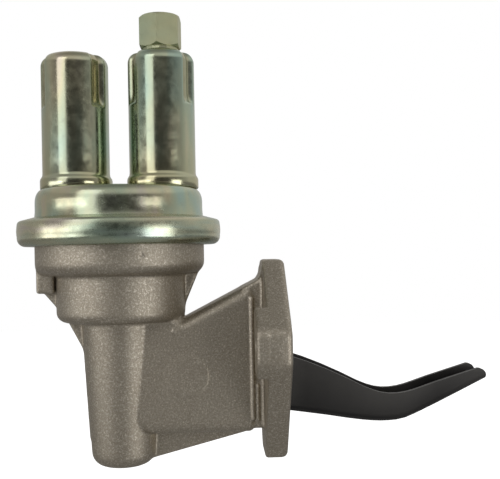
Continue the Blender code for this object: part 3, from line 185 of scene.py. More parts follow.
neck += [(-10.4, 8.8), (-12.0, 6.4), (-19.0, 2.8)]
flange_half = [(9.0, 15.0), (43.3, -13.0), (43.3, -26.2), (10.5, -71.0)]
flange = softened(flange_half + [(-y, z) for y, z in flange_half[::-1]], 6.0)
casting = grown_together(turned_form(cup), turned_form(housing), 1.6)
arm_case = side_form(softened(case, [9.5, 1.0, 1.0, 0.5, 0.5, 1.0]), -13.0, 13.0, 4.6)
arm_case = trimmed(arm_case, (xs + 14.4).astype(np.float32)[:, None, None], 2.4)
arm_case = grown_together(arm_case, side_form(neck, -12.0, 12.0, 1.2), 0.5)
strips = ((-15.4, -14.0, -53.6, -0.6, 13.7), (-13.3, -12.1, -54.0, -38.3, 13.0))
for low_x, high_x, low_z, high_z, half in strips:
    strip = softened([(low_x, low_z), (high_x, low_z), (high_x, high_z), (low_x, high_z)], 0.6)
    arm_case = grown_together(arm_case, side_form(strip, -half, half, 0.6), 0.4)
flange_plate = end_form(flange, -9.8, 4.0, 1.3)
for side in (-1, 1):
    pad = [(side * 24.0, -4.4), (side * 32.5, -4.4), (side * 43.1, -13.2), (side * 43.1, -26.0)]
    pad += [(side * 39.0, -32.0), (side * 24.0, -32.0)]
    pad_form = end_form(softened(pad, [3, 1, 6, 6, 1, 3]), -14.4, -3.0, 1.4)
    flange_plate = grown_together(flange_plate, pad_form, 0.8)
flange_plate = trimmed(flange_plate, xs.astype(np.float32)[:, None, None], 3.0)
lower = grown_together(turned_form(boss), arm_case, 0.9)
lower = grown_together(lower, flange_plate, 1.6)
casting = grown_together(casting, lower, 1.4)
left_rib = [(-105.0, 12.5), (-105.0, 2.0), (-98.7, -5.4), (-95.1, -9.8), (-87.6, -24.3)]
left_rib += [(-70.0, -24.3), (-70.0, 12.5)]
right_rib = [(-35.4, 14.9), (-36.4, 12.5), (-44.1, -5.6), (-44.1, -9.9)]
right_rib += [(-70.0, -9.9), (-70.0, 14.9)]
gusset = [(-70.0, -57.0), (-70.0, -71.5), (-57.8, -71.0), (-16.2, -60.4), (-16.2, -57.0)]
lug = softened([(-106.6, 2.0), (-99.0, 2.0), (-99.0, 14.6), (-106.6, 14.6)], 1.0)
thin_forms = (
    (left_rib, 2.25, 0.8, 1.0),
    (seam, 1.3, 0.6, 0.8),
    (right_rib, 2.25, 0.8, 1.0),
    (gusset, 2.25, 0.7, 1.0),
    (lug, 9.2, 0.9, 0.8),
)
for form, half, edge, fillet in thin_forms:
    casting = grown_together(casting, side_form(form, -half, half, edge), fillet)
pin_boss = cross_rod(*pivot, 8.5, 10.0, 16.0, 0.8)
valley_spur = bead((-44.0, -9.2, -9.8), (-47.9, -12.7, -14.8), 0.9)
casting = grown_together(grown_together(casting, pin_boss, 1.6), valley_spur, 0.8)

# The raised circle is the face of a slightly tilted ejector pin, so one side of it stands out.
mark_x, mark_z = -42.3, -34.2
mark_face = 13.26 + 0.015 * (xs[:, None, None] - mark_x) - 0.011 * (zs[None, None, :] - mark_z)
mark = np.maximum(cross_rod(mark_x, mark_z, 8.7, -14.0, -11.0, 0.0), -ys[None, :, None] - mark_face)
casting = np.minimum(casting, mark.astype(np.float32))

cup_inside = [(0.0, 40.0), (33.1, 40.0), (31.6, 14.3), (30.6, 13.3), (24.3, 13.3), (24.3, -6.4)]
cup_inside += [(7.9, -6.4), (7.9, -11.0), (3.1, -11.0), (3.1, -15.0), (0.0, -15.0)]
boss_inside = [(0.0, -13.8), (11.3, -13.8), (11.3, -58.0), (8.4, -60.0), (8.4, -69.0), (0.0, -69.0)]
chamber = softened([(-9.4, -55.0), (9.4, -55.0), (9.4, -15.0), (-9.4, -15.0)], 3.0)
hollows = [turned_form(cup_inside), turned_form(boss_inside), end_form(chamber, -66.0, 5.0, 0.0)]
pin_bore = cross_rod(*pivot, 4.3, -12.2, 20.0, 0.0)
weep_hole = cross_rod(pump_axis_x, -0.4, 1.5, 22.0, 31.0, 0.0)
bolt_holes = [long_rod(side * 34.5, -19.6, 4.5, -20.0, 5.0) for side in (-1, 1)]
past_mounting_face = np.tile(-xs[:, None, None], (1, len(ys), len(zs))).astype(np.float32)
hollows += [pin_bore, weep_hole, *bolt_holes, past_mounting_face]
nicks = (
    ((-78.4, -15.2, -23.6), (-76.5, -15.9, -25.9), 0.55),
    ((-58.9, -34.6, 18.0), (-57.9, -35.0, 17.4), 0.7),
    ((-56.6, -34.1, 18.4), (-55.9, -33.8, 18.1), 0.6),
)
hollows += [bead(start, end, radius) for start, end, radius in nicks]
for hollow in hollows:
    casting = np.maximum(casting, -hollow)


def skinned(field, low, step, name):
    """The skin of a form given as distances: one point for each cell that the skin passes."""
    shape = np.array(field.shape)
    cells = shape - 1
    inside = field < 0
    total = np.zeros((int(np.prod(cells)), 3))
    count = np.zeros(int(np.prod(cells)))
    corner_sets = []
    for axis in range(3):
        near = tuple(slice(0, -1) if i == axis else slice(None) for i in range(3))
        far = tuple(slice(1, None) if i == axis else slice(None) for i in range(3))
        crossed = inside[near] != inside[far]
        spot = np.argwhere(crossed)
        here, there = field[near][crossed], field[far][crossed]
        points = spot.astype(float)
        points[:, axis] += here / (here - there)
        u, v = [i for i in range(3) if i != axis]
        around = []
        for du, dv in ((0, 0), (-1, 0), (-1, -1), (0, -1)):
            cell = spot.copy()
            cell[:, u] += du
            cell[:, v] += dv
            valid = np.all((cell >= 0) & (cell < cells), axis=1)
            index = np.where(valid, np.ravel_multi_index(np.clip(cell, 0, cells - 1).T, cells), -1)
            around.append(index)
            for k in range(3):
                total[:, k] += np.bincount(index[valid], points[valid, k], len(total))
            count += np.bincount(index[valid], minlength=len(count))
        quads = np.stack(around, 1)
        flip = inside[near][crossed] == (axis == 1)
        quads[flip] = quads[flip][:, ::-1]
        corner_sets.append(quads[np.all(quads >= 0, axis=1)])
    quads = np.concatenate(corner_sets)
    used, index = np.unique(quads, return_inverse=True)
    points = total[used] / count[used, None] * step + low
    mesh = bpy.data.meshes.new(name)
    mesh.from_pydata(points * MM, [], index.reshape(quads.shape).tolist())
    mesh.validate()
    return mesh


def new_piece(name, mesh, body, stands_for):
    """Put a finished mesh in the scene, riding on its body and standing for its solid."""
    item = bpy.data.objects.new(name, mesh)
    bpy.context.scene.collection.objects.link(item)
    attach(item, body)
    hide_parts(stands_for)
    return item


casting_mesh = skinned(casting, casting_low, casting_step, "cast_body")
casting_mesh.shade_smooth()
cast_body = new_piece("cast_body", casting_mesh, "housing", "body_casting")
even = cast_body.modifiers.new("even", "SMOOTH")
even.factor, even.iterations = 0.5, 1
thin = cast_body.modifiers.new("thin", "DECIMATE")
thin.ratio = 0.5


def shader_group(name, inputs, outputs):
    """An empty shader group with its sockets: returns the tree and its two end nodes."""
    tree = bpy.data.node_groups.new(name, "ShaderNodeTree")
    for socket, kind, value in inputs:
        made = tree.interface.new_socket(socket, in_out="INPUT", socket_type=kind)
        made.default_value = value
    for socket, kind in outputs:
        tree.interface.new_socket(socket, in_out="OUTPUT", socket_type=kind)
    return tree, tree.nodes.new("NodeGroupInput"), tree.nodes.new("NodeGroupOutput")


def add_node(tree, kind, **settings):
    """Add a node; each setting is an input's value, or one of the node's own properties."""
    node = tree.nodes.new(kind)
    for key, value in settings.items():
        if key in node.inputs:
            node.inputs[key].default_value = value
        else:
            setattr(node, key, value)
    return node


def noise_at(tree, scale, detail=4.0, roughness=0.6, stretch=(1.0, 1.0, 1.0)):
    """A noise pattern fixed to the piece, in features per metre, drawn out along an axis."""
    place = tree.nodes.new("ShaderNodeTexCoord")
    drawn = add_node(tree, "ShaderNodeMapping")
    drawn.inputs["Scale"].default_value = stretch
    pattern = add_node(tree, "ShaderNodeTexNoise", Scale=scale, Detail=detail, Roughness=roughness)
    tree.links.new(place.outputs["Object"], drawn.inputs["Vector"])
    tree.links.new(drawn.outputs["Vector"], pattern.inputs["Vector"])
    return pattern.outputs["Fac"]


def spread(tree, value, from_low, from_high, to_low, to_high):
    """Stretch part of a value's range over another range."""
    node = add_node(tree, "ShaderNodeMapRange")
    node.inputs["From Min"].default_value = from_low
    node.inputs["From Max"].default_value = from_high
    node.inputs["To Min"].default_value = to_low
    node.inputs["To Max"].default_value = to_high
    tree.links.new(value, node.inputs["Value"])
    return node.outputs["Result"]


def mixed(tree, share, one, other):
    """Mix two colours by a share between 0 and 1; each is a socket or a plain colour."""
    node = tree.nodes.new("ShaderNodeMix")
    node.data_type = "RGBA"
    for socket, value in ((node.inputs[0], share), (node.inputs[6], one), (node.inputs[7], other)):
        if isinstance(value, bpy.types.NodeSocket):
            tree.links.new(value, socket)
        elif isinstance(value, tuple):
            socket.default_value = (*value, 1.0)
        else:
            socket.default_value = value
    return node.outputs[2]


def edge_mask(tree, low, high):
    """Where corners stand out, from the mesh's pointiness; such corners are rubbed bright, and on
    the casting they also carry a painted highlight.
    """
    shape = tree.nodes.new("ShaderNodeNewGeometry")
    return spread(tree, shape.outputs["Pointiness"], low, high, 0.0, 1.0)


def product(tree, one, other):
    """The product of two sockets."""
    node = add_node(tree, "ShaderNodeMath", operation="MULTIPLY")
    tree.links.new(one, node.inputs[0])
    tree.links.new(other, node.inputs[1])
    return node.outputs[0]


# Grain of the shot-blasted casting: fine pits, bright specks and slow patches of dust, with corners
# lighter, partly rubbed bright and partly a painted highlight. The mounting face is milled, so the
# grain stops there.
grain, grain_in, grain_out = shader_group(
    "cast_grain",
    [
        ("Metal", "NodeSocketColor", (0.5, 0.47, 0.43, 1)),
        ("Speck", "NodeSocketColor", (0.8, 0.77, 0.7, 1)),
    ],
    [("Color", "NodeSocketColor"), ("Height", "NodeSocketFloat"), ("Roughness", "NodeSocketFloat")],
)
pits = noise_at(grain, 1900, 3.0, 0.7)
specks = noise_at(grain, 1300, 4.0, 0.75)
patches = noise_at(grain, 45, 3.0, 0.6)
metal, speck = grain_in.outputs["Metal"], grain_in.outputs["Speck"]
dusty = spread(grain, patches, 0.35, 0.7, 0.0, 0.30)
darker = mixed(grain, dusty, metal, (0.335, 0.285, 0.225))
rubbed = mixed(grain, spread(grain, specks, 0.51, 0.68, 0.0, 0.85), darker, speck)
pitted = mixed(grain, spread(grain, pits, 0.53, 0.33, 0.0, 0.45), rubbed, (0.15, 0.13, 0.105))
# Corners lighter: partly rubbed bright, partly a painted highlight along the rounded edges.
worn_and_edge_lit = mixed(grain, edge_mask(grain, 0.53, 0.62), pitted, speck)
grain.links.new(worn_and_edge_lit, grain_out.inputs["Color"])
grain.links.new(pits, grain_out.inputs["Height"])
grain.links.new(spread(grain, specks, 0.3, 0.7, 0.58, 0.44), grain_out.inputs["Roughness"])


def finish_of(name, metallic, roughness):
    """A new material with its Principled shader."""
    material = bpy.data.materials.new(name)
    material.use_nodes = True
    shader = material.node_tree.nodes["Principled BSDF"]
    shader.inputs["Metallic"].default_value = metallic
    shader.inputs["Roughness"].default_value = roughness
    return material, material.node_tree, shader


def raised(tree, shader, height, strength, depth):
    """Feed a height into the shader's normal; depth is the real height in metres."""
    bump = add_node(tree, "ShaderNodeBump", Strength=strength, Distance=depth)
    tree.links.new(height, bump.inputs["Height"])
    tree.links.new(bump.outputs["Normal"], shader.inputs["Normal"])


cast_metal, tree, shader = finish_of("cast_aluminium_blasted", 1.0, 0.44)
sand = add_node(tree, "ShaderNodeGroup", node_tree=grain)
sand.inputs["Metal"].default_value = (0.395, 0.355, 0.288, 1)
sand.inputs["Speck"].default_value = (0.80, 0.74, 0.64, 1)
place = tree.nodes.new("ShaderNodeTexCoord")
split = tree.nodes.new("ShaderNodeSeparateXYZ")
tree.links.new(place.outputs["Object"], split.inputs[0])
milled = spread(tree, split.outputs["X"], -0.00025, -0.00012, 0.0, 1.0)
cuts = noise_at(tree, 3200, 3.0, 0.6, (1, 0.02, 1))
cut_share = spread(tree, cuts, 0.35, 0.65, 0.0, 1.0)
fresh = mixed(tree, cut_share, (0.50, 0.48, 0.44), (0.66, 0.64, 0.60))
tree.links.new(mixed(tree, milled, sand.outputs["Color"], fresh), shader.inputs["Base Color"])
dullness = mixed(tree, milled, sand.outputs["Roughness"], (0.30, 0.30, 0.30))
tree.links.new(dullness, shader.inputs["Roughness"])
relief = mixed(tree, milled, sand.outputs["Height"], (0.5, 0.5, 0.5))
raised(tree, shader, relief, 0.35, 0.0002)
cast_body.data.materials.append(cast_metal)


# Bare steel, spring wire, brass and rubber of the inner pieces. They are turned, stamped,
# wound or moulded, and most of them only show when the pump is opened.
def bare_metal(name, colour, dull, roughness, stretch):
    """A bare metal with drawing or turning marks and slight oil stains."""
    material, tree, shader = finish_of(name, 1.0, roughness)
    stain = noise_at(tree, 90, 4.0, 0.6)
    marks = noise_at(tree, 900, 3.0, 0.6, stretch)
    tone = mixed(tree, spread(tree, stain, 0.35, 0.7, 0.0, 0.6), colour, dull)
    tree.links.new(tone, shader.inputs["Base Color"])
    polish = spread(tree, marks, 0.3, 0.7, roughness - 0.08, roughness + 0.12)
    tree.links.new(polish, shader.inputs["Roughness"])
    raised(tree, shader, marks, 0.25, 0.00006)
    return material


plain_steel = bare_metal("bare_steel", (0.56, 0.55, 0.53), (0.36, 0.34, 0.31), 0.32, (1, 1, 0.1))
spring_steel = bare_metal("spring_wire", (0.4, 0.4, 0.41), (0.22, 0.21, 0.2), 0.34, (0.4, 0.4, 1))
brass = bare_metal("turned_brass", (0.70, 0.53, 0.25), (0.45, 0.32, 0.14), 0.34, (0.3, 0.3, 1))
rubber, tree, shader = finish_of("black_rubber", 0.0, 0.7)
bloom = noise_at(tree, 300, 4.0, 0.6)
bloomed = spread(tree, bloom, 0.4, 0.75, 0, 1)
tone = mixed(tree, bloomed, (0.014, 0.014, 0.015), (0.05, 0.048, 0.045))
tree.links.new(tone, shader.inputs["Base Color"])
raised(tree, shader, noise_at(tree, 1800, 2.0, 0.5), 0.3, 0.00008)

inner_finishes = {
    plain_steel: (
        "pivot_pin",
        "pin_plug",
        "pull_rod",
        "rod_washer",
        "upper_diaphragm_plate",
        "lower_diaphragm_plate",
        "seal_retainer",
        "link",
        "inlet_valve_stem",
        "outlet_valve_stem",
    ),
    spring_steel: (
        "return_spring",
        "diaphragm_spring",
        "inlet_valve_spring",
        "outlet_valve_spring",
    ),
    brass: ("inlet_valve_body", "outlet_valve_body"),
    rubber: ("diaphragm", "rod_seal", "inlet_valve_disc", "outlet_valve_disc"),
}


def finish(item, material):
    """Give a piece one material in place of those it came with."""
    item.data.materials.clear()
    item.data.materials.append(material)


for material, names in inner_finishes.items():
    for name in names:
        finish(nodes[name], material)

# Coil springs of drawn wire, each standing loose on a seat, copied as pieces of their own. The
# table gives each spring, the joint of the piece at its free end, that piece's travel and the seat;
# nothing here presses a spring shorter.
spring_seats = (
    ("diaphragm_spring", "plunger_slide", 5.8, "bottom"),
    ("return_spring", "arm_pivot", 5.8, "bottom"),
    ("inlet_valve_spring", "inlet_valve_lift", 1.2, "bottom"),
    ("outlet_valve_spring", "outlet_valve_lift", 1.2, "top"),
)
for name, joint, travel, seat in spring_seats:
    coil_mesh = nodes[name].data.copy()
    coil_mesh.transform(nodes[name].matrix_world)
    coil = new_piece(name + "_wire", coil_mesh, "housing", name)
    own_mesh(coil)

# Zinc-plated cover. A domed steel pressing whose brim lies in the crimp ring. The chromate
# film on the zinc shifts from straw to green and blue; in the cans' flutes it is painted darker,
# partly thick film and partly painted shade.
film, film_in, film_out = shader_group(
    "chromate_film",
    [
        ("Zinc", "NodeSocketColor", (0.7, 0.7, 0.6, 1)),
        ("Drawn Out", "NodeSocketVector", (1, 1, 1)),
        ("Tint", "NodeSocketFloat", 0.5),
    ],
    [("Color", "NodeSocketColor"), ("Roughness", "NodeSocketFloat"), ("Height", "NodeSocketFloat")],
)
place = film.nodes.new("ShaderNodeTexCoord")
pull = add_node(film, "ShaderNodeVectorMath", operation="MULTIPLY")
film.links.new(place.outputs["Object"], pull.inputs[0])
film.links.new(film_in.outputs["Drawn Out"], pull.inputs[1])
clouds = add_node(film, "ShaderNodeTexNoise", Scale=48.0, Detail=3.0, Roughness=0.55)
film.links.new(pull.outputs[0], clouds.inputs["Vector"])
tints = film.nodes.new("ShaderNodeValToRGB")
tints.color_ramp.elements[0].position = 0.30
tints.color_ramp.elements[0].color = (0.58, 0.47, 0.44, 1)
tints.color_ramp.elements[1].position = 0.72
tints.color_ramp.elements[1].color = (0.34, 0.42, 0.47, 1)
film_tints = (
    (0.42, (0.60, 0.55, 0.36, 1)),
    (0.52, (0.45, 0.51, 0.36, 1)),
    (0.62, (0.34, 0.48, 0.41, 1)),
)
for position, colour in film_tints:
    tints.color_ramp.elements.new(position).color = colour
film.links.new(clouds.outputs["Fac"], tints.inputs["Fac"])
zinc_base, tint_share = film_in.outputs["Zinc"], film_in.outputs["Tint"]
tinted = mixed(film, tint_share, zinc_base, tints.outputs["Color"])
rub = noise_at(film, 260, 5.0, 0.7)
scuffed = mixed(film, spread(film, rub, 0.58, 0.75, 0.0, 0.35), tinted, (0.30, 0.30, 0.25))
film.links.new(scuffed, film_out.inputs["Color"])
film.links.new(spread(film, rub, 0.3, 0.75, 0.15, 0.34), film_out.inputs["Roughness"])
film.links.new(rub, film_out.inputs["Height"])


def plated(name, zinc, drawn_out, tint, bump, marked=None, roughness=0.21):
    """Zinc plate with a chromate film, straw at a can's foot, and darker green towards the pump's
    axis as a painted reflection of each can in the other.

    marked names a mesh attribute, 1 where the sheet is pressed in: there the film is painted
    yellower and darker, partly as thick film and partly as painted shade, with a painted shadow
    deepest in the flutes.
    """
    material, tree, shader = finish_of(name, 1.0, roughness)
    coat = add_node(tree, "ShaderNodeGroup", node_tree=film)
    coat.inputs["Zinc"].default_value = (*zinc, 1)
    coat.inputs["Drawn Out"].default_value = drawn_out
    coat.inputs["Tint"].default_value = tint
    tone = coat.outputs["Color"]
    place = tree.nodes.new("ShaderNodeTexCoord")
    split = tree.nodes.new("ShaderNodeSeparateXYZ")
    tree.links.new(place.outputs["Object"], split.inputs[0])
    off_axis = add_node(tree, "ShaderNodeMath", operation="SUBTRACT")
    off_axis.inputs[1].default_value = pump_axis_x * MM
    tree.links.new(split.outputs["X"], off_axis.inputs[0])
    apart = add_node(tree, "ShaderNodeMath", operation="ABSOLUTE")
    tree.links.new(off_axis.outputs[0], apart.inputs[0])
    # Painted reflection: darker green near the pump's axis, where each can mirrors the other (and
    # on the cover's middle).
    near_axis_painted_reflection = spread(tree, apart.outputs[0], 0.019, 0.005, 0.0, 0.5)
    tone = mixed(tree, near_axis_painted_reflection, tone, (0.30, 0.42, 0.33))
    above_cover = spread(tree, split.outputs["Z"], 0.0464, 0.0475, 0.0, 1.0)
    low_on_can = spread(tree, split.outputs["Z"], 0.066, 0.050, 0.0, 0.6)
    tone = mixed(tree, product(tree, above_cover, low_on_can), tone, (0.52, 0.46, 0.27))
    # Flutes: yellower and darker, partly thick film and partly painted shade, with a painted shadow
    # deepest in them.
    if marked:
        dent = add_node(tree, "ShaderNodeAttribute", attribute_name=marked)
        flute_shade_noise = noise_at(tree, 520, 5.0, 0.7)
        flute_tint_and_shade = spread(tree, dent.outputs["Fac"], 0.25, 0.95, 0.0, 0.6)
        tone = mixed(tree, flute_tint_and_shade, tone, (0.44, 0.38, 0.22))
        flute_painted_shade = spread(tree, flute_shade_noise, 0.54, 0.70, 0.0, 0.35)
        deep = spread(tree, dent.outputs["Fac"], 0.2, 0.7, 0.0, 1.0)
        tone = mixed(tree, product(tree, flute_painted_shade, deep), tone, (0.10, 0.09, 0.07))
    tree.links.new(tone, shader.inputs["Base Color"])
    shift = spread(tree, coat.outputs["Roughness"], 0.15, 0.34, roughness - 0.08, roughness + 0.1)
    tree.links.new(shift, shader.inputs["Roughness"])
    raised(tree, shader, coat.outputs["Height"], bump, 0.00008)
    return material


cover_zinc = plated("cover_zinc", (0.48, 0.485, 0.40), (1, 1, 0.6), 0.8, 0.12)


def turned_piece(name, profile):
    """A closed profile of radius and height turned into a mesh about an upright axis."""
    mesh = bpy.data.meshes.new(name)
    steps, n = 144, len(profile)
    points, faces = [], []
    for k in range(steps):
        angle = math.tau * k / steps
        across, deep = math.cos(angle), math.sin(angle)
        points += [((pump_axis_x + r * across) * MM, r * deep * MM, z * MM) for r, z in profile]
    for k in range(steps):
        for i in range(n):
            a, b = k * n + i, k * n + (i + 1) % n
            c, d = (k + 1) % steps * n + (i + 1) % n, (k + 1) % steps * n + i
            faces.append((a, b, c, d))
    mesh.from_pydata(points, [], faces)
    work = bmesh.new()
    work.from_mesh(mesh)
    bmesh.ops.remove_doubles(work, verts=work.verts, dist=1e-7)
    bmesh.ops.recalc_face_normals(work, faces=work.faces)
    work.to_mesh(mesh)
    work.free()
    mesh.shade_smooth()
    return mesh


def sheet_profile(middle, thickness):
    """A closed outline for pressed sheet: the outer line and, inside it, the same line again."""
    line = [Vector(p) for p in middle]
    inner = []
    for i, here in enumerate(line):
        before = line[max(i - 1, 0)]
        after = line[min(i + 1, len(line) - 1)]
        along = (after - before).normalized()
        inner.append(tuple(here + Vector((along.y, -along.x)) * thickness))
    return [tuple(p) for p in line] + inner[::-1]


def holed(item, places, radius, low, high):
    """Cut upright holes through a piece, and keep the result as its mesh."""
    drills = []
    for x in places:
        shape = bmesh.new()
        turn = Matrix.Translation((x * MM, 0, (low + high) / 2 * MM))
        bmesh.ops.create_cone(
            shape,
            cap_ends=True,
            segments=96,
            radius1=radius * MM,
            radius2=radius * MM,
            depth=(high - low) * MM,
            matrix=turn,
        )
        mesh = bpy.data.meshes.new("drill")
        shape.to_mesh(mesh)
        shape.free()
        drill = bpy.data.objects.new("drill", mesh)
        bpy.context.scene.collection.objects.link(drill)
        cut = item.modifiers.new("hole", "BOOLEAN")
        cut.operation, cut.object, cut.solver = "DIFFERENCE", drill, "EXACT"
        drills.append(drill)
    bpy.context.view_layer.update()
    drilled = item.evaluated_get(bpy.context.evaluated_depsgraph_get())
    result = bpy.data.meshes.new_from_object(drilled)
    item.modifiers.clear()
    item.data = result
    for drill in drills:
        bpy.data.objects.remove(drill, do_unlink=True)


inlet_x, outlet_x = -90.1, -52.3
dome = [(0.0, 46.5)] + quarter((33.0, 40.9), 3.2, 90, 0, 12, 5.6)
dome += quarter((38.2, 38.3), 2.0, 180, 270, 10, 7.1) + [(41.8, 31.2)]
cover = turned_piece("cover_plain", sheet_profile(dome, 1.5))
domed_cover = new_piece("domed_cover", cover, "housing", "top_cover")
domed_cover.data.materials.append(cover_zinc)
holed(domed_cover, (inlet_x, outlet_x), 11.0, 43.0, 48.0)

# Crimp ring. A band of plated steel, rolled over the brim and under the cup's flange, which
# clamps the diaphragm. The rollers leave fine marks round it and scuff its shoulder.
ring_line = [(37.5, 34.4)] + quarter((42.0, 31.4), 1.75, 78, 16, 6) + [(43.85, 30.5), (44.0, 28.7)]
ring_line += [(43.9, 27.0)] + quarter((40.4, 25.8), 3.4, 8, -90, 10, 3.6) + [(37.2, 22.2)]
ring_mesh = turned_piece("ring_plain", sheet_profile(ring_line, 1.6))
rolled_ring = new_piece("rolled_ring", ring_mesh, "housing", "crimp_ring")
ring_zinc = plated("ring_zinc", (0.47, 0.47, 0.37), (0.5, 0.5, 3.0), 0.5, 0.25, roughness=0.27)
rolled_ring.data.materials.append(ring_zinc)

# Port towers. Two drawn steel cans stand on the cover; three flutes pressed into each can grip
# the threaded port piece inside, and a bead at the foot seats on the valve's flange.
tower_zinc = plated("tower_zinc", (0.48, 0.48, 0.41), (1, 1, 0.22), 0.8, 0.08, "pressed", 0.19)
flute_depth, flute_length, flute_half, flute_round = 2.0, 23.5, math.radians(17.0), 6.1
can_radius, mouth_radius, flute_fade, shoulder, cover_top = 14.51, 8.51, 4.5, 4.6, 46.8


def flute_press(angle, drop, first):
    """How deep the can is pressed in at an angle and at a depth below its top."""
    turns = [angle - first - k * math.tau / 3 for k in range(3)]
    nearest = min(abs((turn + math.pi) % math.tau - math.pi) for turn in turns)
    side = max(0.0, min(1.0, (flute_half - nearest) / (flute_half * 0.5)))
    end = max(0.0, min(1.0, (flute_length - drop) / flute_round))
    return flute_depth * (side * side * (3 - 2 * side)) * math.sqrt(1 - (1 - end) ** 2)


def port_tower(name, axis_x, height, first, node):
    """The can as one sheet, thickened inwards."""
    base, top = cover_top, cover_top + height
    rows = [(15.3, base), (15.61, base + 0.5), (15.61, base + 3.9), (15.4, base + 4.7)]
    rows += [(15.0, base + 5.3), (14.65, base + 5.9), (can_radius, base + 7.0)]
    rows += [(can_radius, z) for z in np.linspace(base + 12.0, top - flute_length - 0.5, 4)]
    rows += [(can_radius, z) for z in np.linspace(top - flute_length, top - 5.2, 16)]
    rows += quarter((can_radius - shoulder, top - shoulder), shoulder, 0, 90, 12)
    rows.append((mouth_radius, top))
    around = 216
    points, faces, pressed = [], [], []
    for r, z in rows:
        fade = min(1.0, (r - mouth_radius) / flute_fade)
        for k in range(around):
            angle = math.tau * k / around
            dent = flute_press(angle, top - z, first) * fade
            pressed.append(dent / flute_depth)
            reach = r - dent
            x, y = axis_x + reach * math.cos(angle), reach * math.sin(angle)
            points.append((x * MM, y * MM, z * MM))
    for i in range(len(rows) - 1):
        for k in range(around):
            a, b = i * around + k, i * around + (k + 1) % around
            faces.append((a, b, b + around, a + around))
    mesh = bpy.data.meshes.new(name)
    mesh.from_pydata(points, [], faces)
    mesh.attributes.new("pressed", "FLOAT", "POINT").data.foreach_set("value", pressed)
    mesh.shade_smooth()
    item = new_piece(name, mesh, "housing", node)
    sheet = item.modifiers.new("sheet", "SOLIDIFY")
    sheet.thickness, sheet.offset = 0.9 * MM, -1.0
    item.data.materials.append(tower_zinc)
    return item


port_tower("inlet_can", inlet_x, 58.5, math.radians(-36.0), "inlet_tower")
port_tower("outlet_can", outlet_x, 59.6, math.radians(-30.0), "outlet_tower")

# Port pieces and outlet fitting. Turned steel with an olive chromate: a threaded sleeve held
# in each can, and on the outlet a hexagon with a flared pipe seat inside.
olive = plated("olive_zinc_turned", (0.52, 0.525, 0.33), (1, 1, 1.5), 0.15, 0.2, roughness=0.42)


def break_edges(item, width):
    """Round a solid's sharp edges a little, as handling and plating do."""
    bevel = item.modifiers.new("soft_edge", "BEVEL")
    bevel.width, bevel.segments = width * MM, 2
    bevel.limit_method, bevel.angle_limit = "ANGLE", math.radians(34)


for name in ("inlet_port_insert", "outlet_port_insert", "outlet_hex_fitting"):
    finish(nodes[name], olive)
    break_edges(nodes[name], 0.25)

# Rocker arm. A channel pressed from thick steel sheet and oil-blackened; its tip rides on the
# engine's cam and its root works the link inside the case.
black_oxide, tree, shader = finish_of("black_oiled_steel", 0.0, 0.40)
shader.inputs["Specular IOR Level"].default_value = 0.34
oil = noise_at(tree, 60, 4.0, 0.6, (0.5, 1, 1))
rubs = noise_at(tree, 420, 5.0, 0.7, (0.25, 1, 1))
oiled = spread(tree, oil, 0.35, 0.7, 0, 1)
tone = mixed(tree, oiled, (0.005, 0.005, 0.0055), (0.012, 0.011, 0.010))
tone = mixed(tree, edge_mask(tree, 0.54, 0.64), tone, (0.10, 0.095, 0.09))
tree.links.new(tone, shader.inputs["Base Color"])
tree.links.new(spread(tree, rubs, 0.3, 0.7, 0.36, 0.52), shader.inputs["Roughness"])
raised(tree, shader, rubs, 0.15, 0.00008)
finish(nodes["rocker_arm"], black_oxide)
break_edges(nodes["rocker_arm"], 0.35)

# Setting: white floor and surround, and the light of a bright room in front of which a darker
# patch stands, as behind a photographer.
floor_mesh = bpy.data.meshes.new("floor")
reach, floor_z = 6.0, -0.60
floor_corners = [(-reach, -reach, floor_z), (reach, -reach, floor_z)]
floor_corners += [(reach, reach, floor_z), (-reach, reach, floor_z)]
floor_mesh.from_pydata(floor_corners, [], [(0, 1, 2, 3)])
floor = bpy.data.objects.new("floor", floor_mesh)
bpy.context.scene.collection.objects.link(floor)
pale = bpy.data.materials.new("pale_floor")
pale.use_nodes = True
tree = pale.node_tree
shader = tree.nodes["Principled BSDF"]
shader.inputs["Base Color"].default_value = (0.44, 0.44, 0.44, 1)
shader.inputs["Roughness"].default_value = 0.9
path = tree.nodes.new("ShaderNodeLightPath")
glow = add_node(tree, "ShaderNodeEmission")
glow.inputs["Color"].default_value = (1, 1, 1, 1)
lift = tree.nodes.new("ShaderNodeAddShader")
tree.links.new(path.outputs["Is Camera Ray"], glow.inputs["Strength"])
tree.links.new(shader.outputs[0], lift.inputs[0])
tree.links.new(glow.outputs[0], lift.inputs[1])
tree.links.new(lift.outputs[0], tree.nodes["Material Output"].inputs["Surface"])
floor.data.materials.append(pale)

world = bpy.data.worlds.new("room")
bpy.context.scene.world = world
world.use_nodes = True
tree = world.node_tree
room_light = tree.nodes["Background"]
place = tree.nodes.new("ShaderNodeTexCoord")
dark_patch = add_node(tree, "ShaderNodeVectorMath", operation="DOT_PRODUCT")
dark_patch.inputs[1].default_value = (math.sin(math.radians(6)), -math.cos(math.radians(6)), 0.0)
tree.links.new(place.outputs["Generated"], dark_patch.inputs[0])
level = spread(tree, dark_patch.outputs["Value"], 0.90, 0.0, 0.065, 0.60)
split = tree.nodes.new("ShaderNodeSeparateXYZ")
tree.links.new(place.outputs["Generated"], split.inputs[0])
aside, height = split.outputs["X"], split.outputs["Z"]
above = add_node(tree, "ShaderNodeMath", operation="MAXIMUM")
tree.links.new(level, above.inputs[0])
tree.links.new(spread(tree, height, 0.25, 0.45, 0.0, 0.71), above.inputs[1])
right_side = spread(tree, aside, 0.45, 0.85, 0.0, 1.0)
below_level = spread(tree, height, -0.01, -0.09, 0.0, 1.0)
low_right = spread(tree, product(tree, right_side, below_level), 0.0, 1.0, 1.0, 0.25)
overhead = spread(tree, height, 0.72, 0.97, 1.0, 0.45)
